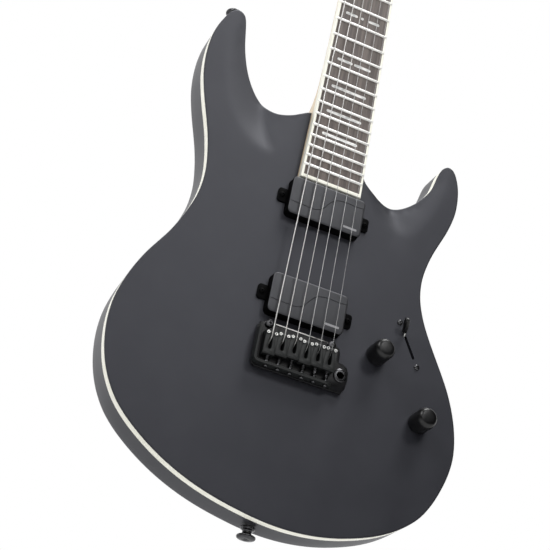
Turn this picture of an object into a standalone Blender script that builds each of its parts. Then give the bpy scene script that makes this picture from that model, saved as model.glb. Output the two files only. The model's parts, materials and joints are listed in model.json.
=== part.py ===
"""Solid-body electric guitar with a floating vibrato, modelled piece by piece.

Frame: metres, +Z up the neck towards the head. The playing face looks along -Y and +X is
the treble side. The origin is on the centreline where the strings leave the nut, in the
plane of the fret crowns. Lengths below are in millimetres and are scaled to metres when a
mesh is made. Strings, saddles and tuners are numbered 1 (thinnest) to 6 (thickest).
"""
import math

import bmesh
import bpy
from mathutils import Matrix, Vector

MM = 0.001
GAP = 0.3                       # space left between pieces that touch

# strings and neck
SCALE_LENGTH = 648.0
FRETS = 24
NUT_SPREAD = 35.0               # string 1 to string 6, centre to centre
BRIDGE_SPREAD = 52.5
STRING_RADII = [0.127, 0.165, 0.216, 0.33, 0.457, 0.584]
BOARD_END_Z = -499.0
BOARD_TOP = 1.0                 # depth of the board's face behind the fret crowns
BOARD_BOTTOM = 6.85
NECK_TOP = 7.15
NUT_HALF = 21.0
HEEL_HALF = 28.6
HEEL_BACK = 26.0

# body
BODY_FRONT = 10.0
BODY_BACK = 52.0
BACK_ROUND = 9.0
BINDING_FRONT = 10.9
BINDING_BACK = 19.0
BINDING_WIDTH = 2.0
COVER_DEPTH = 2.0               # thickness of the flush covers in the back

# pickups
PICKUP_WIDTH = 68.5
PICKUP_LENGTH = 36.5
PICKUP_TOP = 0.5
PICKUP_Z = {"pickup_neck": -519.3, "pickup_bridge": -613.7}

# vibrato
PIVOT_Y, PIVOT_Z = 6.6, -645.4
POST_X, POST_Z = 28.0, -641.5
PLATE_FRONT, PLATE_BACK = 5.6, 7.9
SADDLE_PITCH = BRIDGE_SPREAD / 5
SADDLE_TOP = -2.2
SADDLE_Z = [-648.9, -649.1, -650.2, -649.4, -650.8, -652.4]   # strings 1 to 6
ARM_X, ARM_Z = 40.0, -665.0

# controls
KNOBS = {"volume": (70.2, -634.2), "tone": (116.6, -681.4)}
KNOB_RADIUS = 9.2
SWITCH_X, SWITCH_Z = 97.6, -614.5
SWITCH_DIR = Vector((0.515, 0.0, -0.857)).normalized()   # the way the slot runs
LEVER_PIVOT_Y = 26.0
LEVER_TILT = math.radians(33)
CAVITY_FLOOR = 16.0
JACK_Y = 31.0
JACK_NEAR = Vector((137.0, -752.0))   # the jack sits at the rim point nearest to this

# headstock
HEAD_FRONT, HEAD_BACK = 8.2, 21.2
TUNER_FIRST_Z, TUNER_PITCH_Z = 32.0, 24.5
TUNER_OFFSET_X = 3.6            # the string passes this far beside the post's centre
TUNER_DIR = Vector((-0.9615, 0.0, 0.2747)).normalized()  # post to button
WORM_OFFSET = 5.6
WORM_Y = 27.0

# body outline, clockwise seen from the front: (x, z)
OUTLINE = [
    (-30, -428), (-43, -436), (-58, -440), (-72, -435.5), (-83, -425), (-93, -407),
    (-100, -384), (-104, -363), (-107, -355), (-113, -352), (-119, -355), (-125.5, -367),
    (-131, -384),
    (-133, -406), (-131, -430), (-124, -457), (-115, -486), (-109, -519), (-110, -543),
    (-116, -565), (-126, -589), (-139, -612), (-149, -635), (-156, -662), (-156, -690),
    (-149, -718), (-135, -742), (-114, -761), (-86, -778), (-56, -790), (-22, -798),
    (12, -802), (46, -800), (78, -792), (107, -779), (131, -759), (146, -731), (153, -702),
    (150, -673), (140, -645), (126, -620), (111, -593), (103, -570), (102, -548),
    (108, -522), (118, -496), (124, -473), (124, -451), (120.5, -437), (116, -429.5),
    (110.5, -427.7), (105.5, -432), (102, -441), (98.5, -455), (91.5, -468), (82.5, -478.5),
    (70, -487.5), (57, -489.5), (44, -484), (33, -475), (27, -458), (19, -437), (2, -427),
    (-14, -426),
]

HEAD_OUTLINE = [
    (-21, 7), (-23, 13), (-29, 20), (-34.5, 29), (-34, 40), (-27, 64), (-17, 99), (-7, 134),
    (1, 162), (7, 175), (15, 181), (24, 178), (30, 167), (32, 150), (30, 122), (28.5, 92),
    (29, 60), (30, 36), (28, 22), (23, 13), (21, 7),
]

CONTROL_CAVITY = [
    (60, -618), (77, -588), (97, -588), (118, -628), (137, -672), (138, -702), (130, -724),
    (113, -741), (98, -730), (88, -700), (58, -655),
]

COLOURS = {
    "satin_black": ((0.035, 0.035, 0.038), 0.42, 0.0),
    "cream": ((0.80, 0.78, 0.68), 0.40, 0.0),
    "maple": ((0.62, 0.45, 0.26), 0.45, 0.0),
    "dark_wood": ((0.055, 0.035, 0.025), 0.60, 0.0),
    "bone_black": ((0.03, 0.03, 0.03), 0.45, 0.0),
    "black_cover": ((0.025, 0.025, 0.027), 0.35, 0.0),
    "black_metal": ((0.045, 0.045, 0.05), 0.32, 0.9),
    "steel": ((0.62, 0.62, 0.62), 0.28, 1.0),
    "zinc": ((0.50, 0.50, 0.50), 0.45, 1.0),
    "black_plastic": ((0.03, 0.03, 0.03), 0.50, 0.0),
    "battery": ((0.10, 0.10, 0.11), 0.45, 0.2),
}


def clear_scene():
    for ob in list(bpy.data.objects):
        bpy.data.objects.remove(ob, do_unlink=True)


def material(name):
    mat = bpy.data.materials.get(name)
    if mat is None:
        colour, rough, metal = COLOURS[name]
        mat = bpy.data.materials.new(name)
        mat.use_nodes = True
        shader = mat.node_tree.nodes["Principled BSDF"]
        shader.inputs["Base Color"].default_value = (*colour, 1.0)
        shader.inputs["Roughness"].default_value = rough
        shader.inputs["Metallic"].default_value = metal
        mat.diffuse_color = (*colour, 1.0)
    return mat


# ---------------------------------------------------------------- plane curves

def catmull(p0, p1, p2, p3, t):
    """Point at t (0 to 1) between p1 and p2 on a centripetal Catmull-Rom curve."""
    k0 = 0.0
    k1 = k0 + (p1 - p0).length ** 0.5
    k2 = k1 + (p2 - p1).length ** 0.5
    k3 = k2 + (p3 - p2).length ** 0.5
    k = k1 + (k2 - k1) * t
    a1 = p0 * (k1 - k) / (k1 - k0) + p1 * (k - k0) / (k1 - k0)
    a2 = p1 * (k2 - k) / (k2 - k1) + p2 * (k - k1) / (k2 - k1)
    a3 = p2 * (k3 - k) / (k3 - k2) + p3 * (k - k2) / (k3 - k2)
    b1 = a1 * (k2 - k) / (k2 - k0) + a2 * (k - k0) / (k2 - k0)
    b2 = a2 * (k3 - k) / (k3 - k1) + a3 * (k - k1) / (k3 - k1)
    return b1 * (k2 - k) / (k2 - k1) + b2 * (k - k1) / (k2 - k1)


def smooth_closed(points, steps=2):
    pts = [Vector(p) for p in points]
    n = len(pts)
    out = []
    for i in range(n):
        for s in range(steps):
            out.append(catmull(pts[i - 1], pts[i], pts[(i + 1) % n], pts[(i + 2) % n], s / steps))
    return out


def inward_normals(outline):
    area = sum(a.x * b.y - b.x * a.y for a, b in zip(outline, outline[1:] + outline[:1]))
    turn = 1.0 if area > 0 else -1.0
    n = len(outline)
    normals = []
    for i in range(n):
        along = (outline[(i + 1) % n] - outline[i - 1]).normalized()
        normals.append(Vector((-along.y, along.x)) * turn)
    return normals


def inset(outline, distance):
    """Moves each point inwards, less where the shape is too narrow or too sharply bent."""
    normals = inward_normals(outline)
    moved = []
    for p, nrm in zip(outline, normals):
        room = 1e9
        for q in outline:
            gap = q - p
            ahead = gap.dot(nrm)
            if ahead > 1e-6:
                room = min(room, gap.length_squared / (2 * ahead))
        moved.append(p + nrm * (min(distance, 0.8 * room) if distance > 0 else distance))
    return moved


def rounded_rect(cx, cz, wx, wz, r, steps=3):
    pts = []
    for qx, qz, start in ((1, 1, 0), (-1, 1, 90), (-1, -1, 180), (1, -1, 270)):
        for s in range(steps + 1):
            a = math.radians(start + 90 * s / steps)
            pts.append(Vector((cx + qx * (wx / 2 - r) + r * math.cos(a),
                               cz + qz * (wz / 2 - r) + r * math.sin(a))))
    return pts


def turned_rect(cx, cz, length, width, direction):
    """Rectangle in the face plane with its length along a direction."""
    d = Vector((direction.x, direction.z))
    n = Vector((-d.y, d.x))
    c = Vector((cx, cz))
    return [c + d * (sx * length / 2) + n * (sz * width / 2)
            for sx, sz in ((-1, -1), (1, -1), (1, 1), (-1, 1))]


# ---------------------------------------------------------------- solids, in millimetres

def loft(rings, closed_ends=True):
    """Skins a list of equal rings of 3-D points and caps both ends."""
    bm = bmesh.new()
    layers = [[bm.verts.new(p) for p in ring] for ring in rings]
    n = len(layers[0])
    for a, b in zip(layers, layers[1:]):
        for i in range(n):
            j = (i + 1) % n
            bm.faces.new((a[i], a[j], b[j], b[i]))
    if closed_ends:
        bm.faces.new(layers[0])
        bm.faces.new(layers[-1])
    bmesh.ops.recalc_face_normals(bm, faces=bm.faces)
    return bm


def stack(levels):
    """Solid from (outline, y) levels; every outline has the same number of points."""
    return loft([[Vector((p.x, y, p.y)) for p in outline] for outline, y in levels])


def prism(outline, y0, y1):
    outline = [Vector(p) for p in outline]
    return stack([(outline, y0), (outline, y1)])


def block(x0, x1, y0, y1, z0, z1):
    return prism([(x0, z0), (x1, z0), (x1, z1), (x0, z1)], y0, y1)


def turned(profile, centre, axis, sides=16):
    """Solid of revolution: (radius, height) pairs along an axis that starts at centre."""
    axis = Vector(axis).normalized()
    side = axis.orthogonal().normalized()
    other = axis.cross(side)
    rings = []
    for r, h in profile:
        ring = []
        for k in range(sides):
            a = 2 * math.pi * (k + 0.5) / sides
            ring.append(Vector(centre) + axis * h + (side * math.cos(a) + other * math.sin(a)) * r)
        rings.append(ring)
    return loft(rings)


def ring_solid(outer, inner, h0, h1, centre, axis, sides=16, lip=None):
    """Open tube. lip, if given, is (radius, height): a wider flange from h0 to that height."""
    axis = Vector(axis).normalized()
    side = axis.orthogonal().normalized()
    other = axis.cross(side)
    section = [(inner, h0), (outer, h0), (outer, h1), (inner, h1)]
    if lip:
        section = [(inner, h0), (lip[0], h0), (lip[0], lip[1]), (outer, lip[1]),
                   (outer, h1), (inner, h1)]
    bm = bmesh.new()
    layers = []
    for k in range(sides):
        a = 2 * math.pi * (k + 0.5) / sides
        radial = side * math.cos(a) + other * math.sin(a)
        layers.append([bm.verts.new(Vector(centre) + axis * h + radial * r) for r, h in section])
    m = len(section)
    for k in range(sides):
        a, b = layers[k], layers[(k + 1) % sides]
        for i in range(m):
            j = (i + 1) % m
            bm.faces.new((a[i], a[j], b[j], b[i]))
    bmesh.ops.recalc_face_normals(bm, faces=bm.faces)
    return bm


def tube(path, radius, sides=6):
    """Round bar along a path, with its frame carried along so it doesn't twist."""
    pts = [Vector(p) for p in path]
    rings = []
    side = None
    for i, p in enumerate(pts):
        ahead = pts[min(i + 1, len(pts) - 1)] - pts[max(i - 1, 0)]
        ahead.normalize()
        side = ahead.orthogonal() if side is None else side - ahead * side.dot(ahead)
        side.normalize()
        other = ahead.cross(side)
        rings.append([p + (side * math.cos(2 * math.pi * k / sides)
                           + other * math.sin(2 * math.pi * k / sides)) * radius
                      for k in range(sides)])
    return loft(rings)


def finish_mesh(name, bm, join=(), cut=(), bevel=None):
    """Unites, cuts and rounds a solid, and returns it as a mesh in metres."""
    scene = bpy.context.scene.collection.objects

    def temporary(source):
        mesh = bpy.data.meshes.new("work")
        source.to_mesh(mesh)
        source.free()
        mesh.transform(Matrix.Scale(MM, 4))
        ob = bpy.data.objects.new("work", mesh)
        scene.link(ob)
        return ob

    base = temporary(bm)
    helpers = []
    for operation, solids in (("UNION", join), ("DIFFERENCE", cut)):
        for solid in solids:
            helper = temporary(solid)
            helper.hide_render = True
            helper.display_type = "WIRE"
            helpers.append(helper)
            mod = base.modifiers.new(operation, "BOOLEAN")
            mod.operation = operation
            mod.solver = "EXACT"
            mod.object = helper
    if bevel:
        mod = base.modifiers.new("bevel", "BEVEL")
        mod.width = bevel[0] * MM
        mod.segments = bevel[1]
        mod.limit_method = "ANGLE"
        mod.angle_limit = math.radians(50)
    graph = bpy.context.evaluated_depsgraph_get()
    mesh = bpy.data.meshes.new_from_object(base.evaluated_get(graph))
    mesh.name = name
    for ob in [base] + helpers:
        work = ob.data
        bpy.data.objects.remove(ob, do_unlink=True)
        bpy.data.meshes.remove(work)
    return mesh


def place(name, mesh, mat, origin=(0, 0, 0), parent=None):
    """Adds a mesh (made about its own origin) at a point of the guitar's frame."""
    if not mesh.materials:
        mesh.materials.append(material(mat))
    mesh.shade_smooth()
    mesh.set_sharp_from_angle(angle=math.radians(32))
    ob = bpy.data.objects.new(name, mesh)
    bpy.context.scene.collection.objects.link(ob)
    base = Vector((0, 0, 0))
    if parent is not None:
        ob.parent = parent
        base = parent.location
    ob.location = Vector(origin) * MM - base
    return ob


def pivot(name, point):
    """Empty on a joint's axis, the parent of what turns about it."""
    empty = bpy.data.objects.new(name, None)
    empty.empty_display_size = 0.02
    empty.location = Vector(point) * MM
    bpy.context.scene.collection.objects.link(empty)
    return empty


def shifted(bm, offset):
    bmesh.ops.translate(bm, verts=bm.verts, vec=Vector(offset))
    return bm


# ---------------------------------------------------------------- shared measures

def fret_z(n):
    return -SCALE_LENGTH * (1 - 2 ** (-n / 12))


def board_half(z):
    return NUT_HALF + (HEEL_HALF - NUT_HALF) * (-z / -BOARD_END_Z)


def nut_x(string):
    return NUT_SPREAD * (0.5 - (string - 1) / 5)


def saddle_point(string):
    """Where a string breaks over its saddle, set for its intonation."""
    radius = STRING_RADII[string - 1]
    x = BRIDGE_SPREAD * (0.5 - (string - 1) / 5)
    return Vector((x, SADDLE_TOP - GAP - radius, SADDLE_Z[string - 1]))


def jack_seat():
    """Point on the rim where the jack sits, and the outward direction there."""
    outline = smooth_closed(OUTLINE)
    i = min(range(len(outline)), key=lambda k: (outline[k] - JACK_NEAR).length)
    outward = -inward_normals(outline)[i]
    return Vector((outline[i].x, JACK_Y, outline[i].y)), Vector((outward.x, 0.0, outward.y))


def tuner_centre(string):
    k = 6 - string
    return Vector((nut_x(string) - TUNER_OFFSET_X, 0.0, TUNER_FIRST_Z + TUNER_PITCH_Z * k))


# ---------------------------------------------------------------- neck and board

def make_neck():
    stations = [  # z, depth of the back, squareness of the section
        (-499.2, HEEL_BACK, 24.0), (-430.0, HEEL_BACK, 24.0), (-418.0, 25.0, 6.0),
        (-405.0, 23.5, 2.7), (-390.0, 22.8, 2.0), (-300.0, 22.3, 1.95), (-200.0, 21.7, 1.95),
        (-100.0, 21.0, 1.95), (-30.0, 20.6, 2.1), (-8.0, 20.8, 2.5), (8.0, HEAD_BACK - 0.2, 4.0),
        (20.0, HEAD_BACK - 0.2, 6.0),
    ]
    rings = []
    for z, back, power in stations:
        half = board_half(z) if z < -1 else NUT_HALF
        if z > 10:
            top = HEAD_FRONT + 2.0
        else:
            top = NECK_TOP
        ring = []
        for k in range(15):
            a = math.pi * k / 14
            c, s = math.cos(a), math.sin(a)
            x = -half * math.copysign(abs(c) ** (2 / power), c)
            y = top + (back - top) * abs(s) ** (2 / power)
            ring.append(Vector((x, y, z)))
        rings.append(ring)
    head = prism(HEAD_OUTLINE, HEAD_FRONT, HEAD_BACK)
    holes = [turned([(5.1, HEAD_FRONT - 4), (5.1, HEAD_BACK + 4)], tuner_centre(s), (0, 1, 0), 12)
             for s in range(1, 7)]
    bolts = [turned([(2.9, 14.0), (2.9, 30.0)], (x, 0, z), (0, 1, 0), 10)
             for x in (-14, 14) for z in (-453, -485)]
    place("neck", finish_mesh("neck", loft(rings), join=[head], cut=holes + bolts), "maple")


def make_fretboard():
    profile = [(-GAP, BOARD_BOTTOM), (-GAP, BOARD_TOP)]
    for n in range(1, FRETS + 1):
        z = fret_z(n)
        profile += [(z + 1.2, BOARD_TOP), (z + 0.7, 0.0), (z - 0.7, 0.0), (z - 1.2, BOARD_TOP)]
    profile += [(BOARD_END_Z, BOARD_TOP), (BOARD_END_Z, BOARD_BOTTOM)]
    sides = [[Vector((s * board_half(z), y, z)) for z, y in profile] for s in (-1, 1)]
    place("fretboard", finish_mesh("fretboard", loft(sides)), "dark_wood")


def make_nut():
    """Nut with one open slot per string."""
    top, floor = -1.5, -0.32 + GAP
    section = [(-NUT_HALF, BOARD_BOTTOM), (-NUT_HALF, top)]
    for string in range(6, 0, -1):
        x, half = nut_x(string), STRING_RADII[string - 1] + GAP
        section += [(x - half, top), (x - half, floor), (x + half, floor), (x + half, top)]
    section += [(NUT_HALF, top), (NUT_HALF, BOARD_BOTTOM)]
    ends = [[Vector((x, y, z)) for x, y in section] for z in (0.0, 4.6)]
    place("nut", finish_mesh("nut", loft(ends)), "bone_black")


# ---------------------------------------------------------------- body

def make_body():
    full = smooth_closed(OUTLINE)
    levels = [(0.0, BODY_FRONT), (0.0, BINDING_FRONT - GAP),
              (BINDING_WIDTH + GAP, BINDING_FRONT - GAP), (BINDING_WIDTH + GAP, BINDING_BACK + GAP),
              (0.0, BINDING_BACK + GAP)]
    for degrees in (0, 30, 60, 90):
        a = math.radians(degrees)
        levels.append((BACK_ROUND * (1 - math.cos(a)),
                       BODY_BACK - BACK_ROUND * (1 - math.sin(a))))
    solid = stack([(inset(full, d) if d else full, y) for d, y in levels])

    def pocket_half(z):
        return board_half(z) + GAP

    neck_pocket = prism([(-pocket_half(-499.5), -499.5), (pocket_half(-499.5), -499.5),
                         (pocket_half(-400), -400), (-pocket_half(-400), -400)],
                        0.0, HEEL_BACK + GAP)
    cuts = [neck_pocket]
    for z in PICKUP_Z.values():
        cuts.append(prism(rounded_rect(0, z, PICKUP_WIDTH + 1.0, PICKUP_LENGTH + 1.0, 4.5),
                          0.0, 24.0))
    # through slot for the sustain block, the well for the arm socket, the pivot studs
    cuts.append(block(-34.5, 34.5, 0.0, 29.0, -675.0, -646.5))
    cuts.append(turned([(8.0, 0.0), (8.0, 18.5)], (ARM_X, 0, ARM_Z - 1), (0, 1, 0), 16))
    cuts += [turned([(4.9, 0.0), (4.9, 31.0)], (s * POST_X, 0, POST_Z), (0, 1, 0), 12)
             for s in (-1, 1)]
    # spring cavity and its cover's recess
    cuts.append(prism([(-42, -690), (42, -690), (42, -646), (29, -646), (29, -551), (-29, -551),
                       (-29, -646), (-42, -646)], 28.0, 60.0))
    cuts.append(prism(rounded_rect(0, -621.5, 98.0, 155.0, 7.0),
                      BODY_BACK - COVER_DEPTH - GAP, 60.0))
    # control cavity, its cover's recess, shaft holes, lever slot and jack bore
    cuts.append(prism(CONTROL_CAVITY, CAVITY_FLOOR, 60.0))
    cuts.append(prism(inset([Vector(p) for p in CONTROL_CAVITY], -4.6),
                      BODY_BACK - COVER_DEPTH - GAP, 60.0))
    cuts += [turned([(4.9, 0.0), (4.9, 20.0)], (x, 0, z), (0, 1, 0), 12)
             for x, z in KNOBS.values()]
    cuts.append(prism(turned_rect(SWITCH_X, SWITCH_Z, 26.5, 3.8, SWITCH_DIR), 0.0, 20.0))
    seat, outward = jack_seat()
    cuts.append(turned([(6.4, -29.0), (6.4, 9.0)], seat, outward, 16))
    # battery pocket and lid recess
    cuts.append(block(-104.0, -74.0, 30.0, 60.0, -704.0, -652.0))
    cuts.append(block(-109.5, -68.5, BODY_BACK - COVER_DEPTH - GAP, 60.0, -710.5, -644.5))
    # neck bolts
    cuts += [turned([(2.9, 20.0), (2.9, 60.0)], (x, 0, z), (0, 1, 0), 10)
             for x in (-14, 14) for z in (-453, -485)]
    place("body", finish_mesh("body", solid, cut=cuts), "satin_black")


def make_binding():
    """Edge strip let into the rim just under the top, open where the neck joins."""
    full = smooth_closed(OUTLINE)
    inner = inset(full, BINDING_WIDTH)
    last = len(full) - 2 * 5 - 3        # stops short of the heel on the treble side
    bm = bmesh.new()
    layers = []
    for i in range(1, last):
        layers.append([bm.verts.new((p.x, y, p.y)) for p, y in (
            (full[i], BINDING_FRONT), (full[i], BINDING_BACK),
            (inner[i], BINDING_BACK), (inner[i], BINDING_FRONT))])
    for a, b in zip(layers, layers[1:]):
        for i in range(4):
            j = (i + 1) % 4
            bm.faces.new((a[i], a[j], b[j], b[i]))
    bm.faces.new(layers[0])
    bm.faces.new(layers[-1])
    bmesh.ops.recalc_face_normals(bm, faces=bm.faces)
    place("body_binding", finish_mesh("body_binding", bm), "cream")


def make_neck_plate():
    plate = prism(rounded_rect(0, -469, 42, 46, 5), BODY_BACK + GAP, BODY_BACK + 2.3)
    bolts = [turned([(2.5, 15.0), (2.5, 53.4), (4.6, 53.4), (4.6, 55.2), (3.6, 56.0)],
                    (x, 0, z), (0, 1, 0), 10)
             for x in (-14, 14) for z in (-453, -485)]
    place("neck_plate", finish_mesh("neck_plate", plate, join=bolts), "black_metal")


def strap_button(name, centre, axis):
    profile = [(5.6, 0.3), (6.0, 0.9), (6.0, 2.5), (4.4, 3.2), (3.7, 4.6), (3.8, 6.2),
               (5.4, 7.4), (7.5, 8.0), (7.8, 9.2), (7.0, 10.4), (4.6, 11.0)]
    mesh = finish_mesh(name, turned(profile, (0, 0, 0), axis, 12))
    place(name, mesh, "black_metal", origin=centre)


# ---------------------------------------------------------------- pickups

def make_pickup(name):
    z = PICKUP_Z[name]
    def ring(shrink, y):
        return (rounded_rect(0, 0, PICKUP_WIDTH - 2 * shrink, PICKUP_LENGTH - 2 * shrink, 4.0), y)
    cover = stack([ring(1.2, PICKUP_TOP), ring(0.35, PICKUP_TOP + 0.45),
                   ring(0.0, PICKUP_TOP + 1.4), ring(0.0, 22.0)])
    ears = prism(rounded_rect(0, 0, 86.0, 13.5, 2.0), 8.3, BODY_FRONT - GAP)
    place(name, finish_mesh(name, cover, join=[ears]), "black_cover", origin=(0, 0, z))


# ---------------------------------------------------------------- vibrato

def make_vibrato():
    hub = pivot("vibrato_pivot", (0, PIVOT_Y, PIVOT_Z))
    origin = Vector((0, PIVOT_Y, PIVOT_Z))

    def fixed(name, bm, mat, **how):
        mesh = finish_mesh(name, shifted(bm, -origin), **how)
        place(name, mesh, mat, origin=origin, parent=hub)

    outline = [(-31, -639.5), (31, -639.5), (35.5, -642), (37, -646), (37, -654), (41, -654),
               (45.2, -656.5), (47, -661), (47, -668), (46, -675.5), (43, -680.4), (37, -680.4),
               (-33, -680.8), (-36.3, -679.6), (-37.4, -677), (-37.4, -646), (-36, -642)]
    rim = prism([(-37.4, -648), (-35.2, -648), (-35.2, -675.4), (-34.2, -676.6), (33.5, -676.6),
                 (33.5, -679.2), (-34.8, -679.2), (-36.8, -677.8), (-37.4, -675.6)],
                -1.2, PLATE_FRONT + 0.5)
    notches = [turned([(3.9, -4.0), (3.9, 20.0)], (s * POST_X, 0, POST_Z), (0, 1, 0), 16)
               for s in (-1, 1)]
    socket_hole = turned([(5.0, -4.0), (5.0, 20.0)], (ARM_X, 0, ARM_Z), (0, 1, 0), 16)
    fixed("vibrato_baseplate", prism(outline, PLATE_FRONT, PLATE_BACK), "black_metal",
          join=[shifted(rim, -origin)],
          cut=[shifted(c, -origin) for c in notches + [socket_hole]])
    fixed("arm_socket",
          ring_solid(4.7, 3.1, 4.2, 16.5, (ARM_X, 0, ARM_Z), (0, 1, 0), 16,
                     lip=(5.9, PLATE_FRONT - GAP)), "steel")
    fixed("sustain_block", block(-32.5, 32.5, PLATE_BACK + GAP, 46.0, -662.5, -650.5), "zinc",
          bevel=(1.0, 1))

    blank = block(-SADDLE_PITCH / 2 + 0.15, SADDLE_PITCH / 2 - 0.15, SADDLE_TOP,
                  PLATE_FRONT - GAP, -18.3, 3.0)
    slot = block(-1.5, 1.5, -20.0, 20.0, -14.0, -1.4)
    saddle = finish_mesh("saddle", blank, cut=[slot])
    for string in range(1, 7):
        p = saddle_point(string)
        place("saddle_%d" % string, saddle, "black_metal", origin=(p.x, 0, p.z), parent=hub)

    post = [(2.6, 3.2), (3.6, 3.8), (3.6, 4.9), (3.0, 5.3), (3.0, 9.9), (4.5, 9.9), (4.5, 30.0)]
    mesh = finish_mesh("pivot_post", turned(post, (0, 0, 0), (0, 1, 0), 14))
    for label, s in (("bass", -1), ("treble", 1)):
        place("pivot_post_" + label, mesh, "steel", origin=(s * POST_X, 0, POST_Z))


def make_springs():
    claw = block(-25.0, 25.0, 38.0, 47.0, -563.5, -561.0)
    screws = [turned([(1.9, -567.0), (1.9, -551.4)], (x, 42.5, 0), (0, 0, 1), 8)
              for x in (-8, 8)]
    tabs = [block(x - 2, x + 2, 38.0, 40.0, -566.5, -563.0) for x in (-16, 0, 16)]
    place("spring_claw", finish_mesh("spring_claw", claw, join=screws + tabs), "zinc")

    turns, per_turn, coil, z0, z1 = 9, 6, 3.3, -649.9, -567.0
    path = [(0, 0, z0), (0, 0, z0 + 4)]
    for k in range(turns * per_turn + 1):
        a = 2 * math.pi * k / per_turn
        z = z0 + 7 + (z1 - z0 - 14) * k / (turns * per_turn)
        path.append((coil * math.cos(a), coil * math.sin(a), z))
    path += [(0, 0, z1 - 4), (0, 0, z1)]
    mesh = finish_mesh("spring", tube(path, 0.65, 4))
    for label, x in (("bass", -16), ("middle", 0), ("treble", 16)):
        place("vibrato_spring_" + label, mesh, "steel", origin=(x, 43.0, 0))


# ---------------------------------------------------------------- strings and tuners

def make_strings():
    for string in range(1, 7):
        r = STRING_RADII[string - 1]
        s = saddle_point(string)
        n = Vector((nut_x(string), -0.32 - r, 2.3))
        t = tuner_centre(string)
        path = [s + Vector((0, 6.6, -9.0)), s + Vector((0, 1.0, -3.4)), s + Vector((0, 0.05, -1.2)),
                s + Vector((0, 0.0, 1.2)), n + Vector((0, 0, -1.6)), n + Vector((0, 0.1, 1.4)),
                Vector((n.x, 3.2, t.z - 2.0)), Vector((n.x, 3.3, t.z + 1.0))]
        place("string_%d" % string, finish_mesh("string_%d" % string, tube(path, r, 6)), "steel")


def make_tuners():
    u = TUNER_DIR
    v = Vector((u.z, 0, -u.x))              # along the row of tuners
    worm = v * -WORM_OFFSET + Vector((0, WORM_Y, 0))

    half_u, half_v = 7.5, 9.6
    corners = [u * a + v * b for a, b in ((-half_u, -half_v), (half_u, -half_v),
                                          (half_u, half_v), (-half_u, half_v))]
    case = prism([(c.x, c.z) for c in corners], HEAD_BACK + GAP, 32.0)
    bevelled = finish_mesh("tuner_case", case, bevel=(1.6, 1))
    case = bmesh.new()
    case.from_mesh(bevelled)
    bmesh.ops.scale(case, vec=(1 / MM,) * 3, verts=case.verts)
    bpy.data.meshes.remove(bevelled)
    sleeve = turned([(7.0, 6.3), (7.0, HEAD_FRONT - GAP), (4.7, HEAD_FRONT - GAP), (4.7, 24.0)],
                    (0, 0, 0), (0, 1, 0), 12)
    bore = turned([(3.5, 0.0), (3.5, 28.5)], (0, 0, 0), (0, 1, 0), 12)
    worm_bore = turned([(2.4, 4.0), (2.4, 12.0)], worm, u, 12)
    housing = finish_mesh("tuner_housing", case, join=[sleeve], cut=[bore, worm_bore])

    post = finish_mesh("tuner_post", turned(
        [(2.7, -2.2), (3.1, -1.6), (2.5, 1.0), (2.5, 4.6), (3.1, 5.6), (3.1, 28.0)],
        (0, 0, 0), (0, 1, 0), 10))

    shaft = turned([(2.1, 4.6), (2.1, 17.0)], (0, 0, 0), u, 10)
    grip = []
    for h, wide, thick in ((15.6, 3.0, 2.6), (16.4, 5.2, 3.6), (19.5, 8.4, 4.2), (23.5, 9.4, 4.4),
                           (26.8, 7.8, 4.0), (28.2, 4.6, 2.8)):
        grip.append([u * h + v * (wide * math.cos(a)) + Vector((0, thick * math.sin(a), 0))
                     for a in (2 * math.pi * k / 14 for k in range(14))])
    button = finish_mesh("tuner_button", loft(grip), join=[shaft])

    for string in range(1, 7):
        c = tuner_centre(string)
        place("tuner_housing_%d" % string, housing, "black_metal", origin=c)
        place("tuner_post_%d" % string, post, "black_metal", origin=c)
        place("tuner_button_%d" % string, button, "black_metal", origin=c + worm)


# ---------------------------------------------------------------- controls

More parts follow.
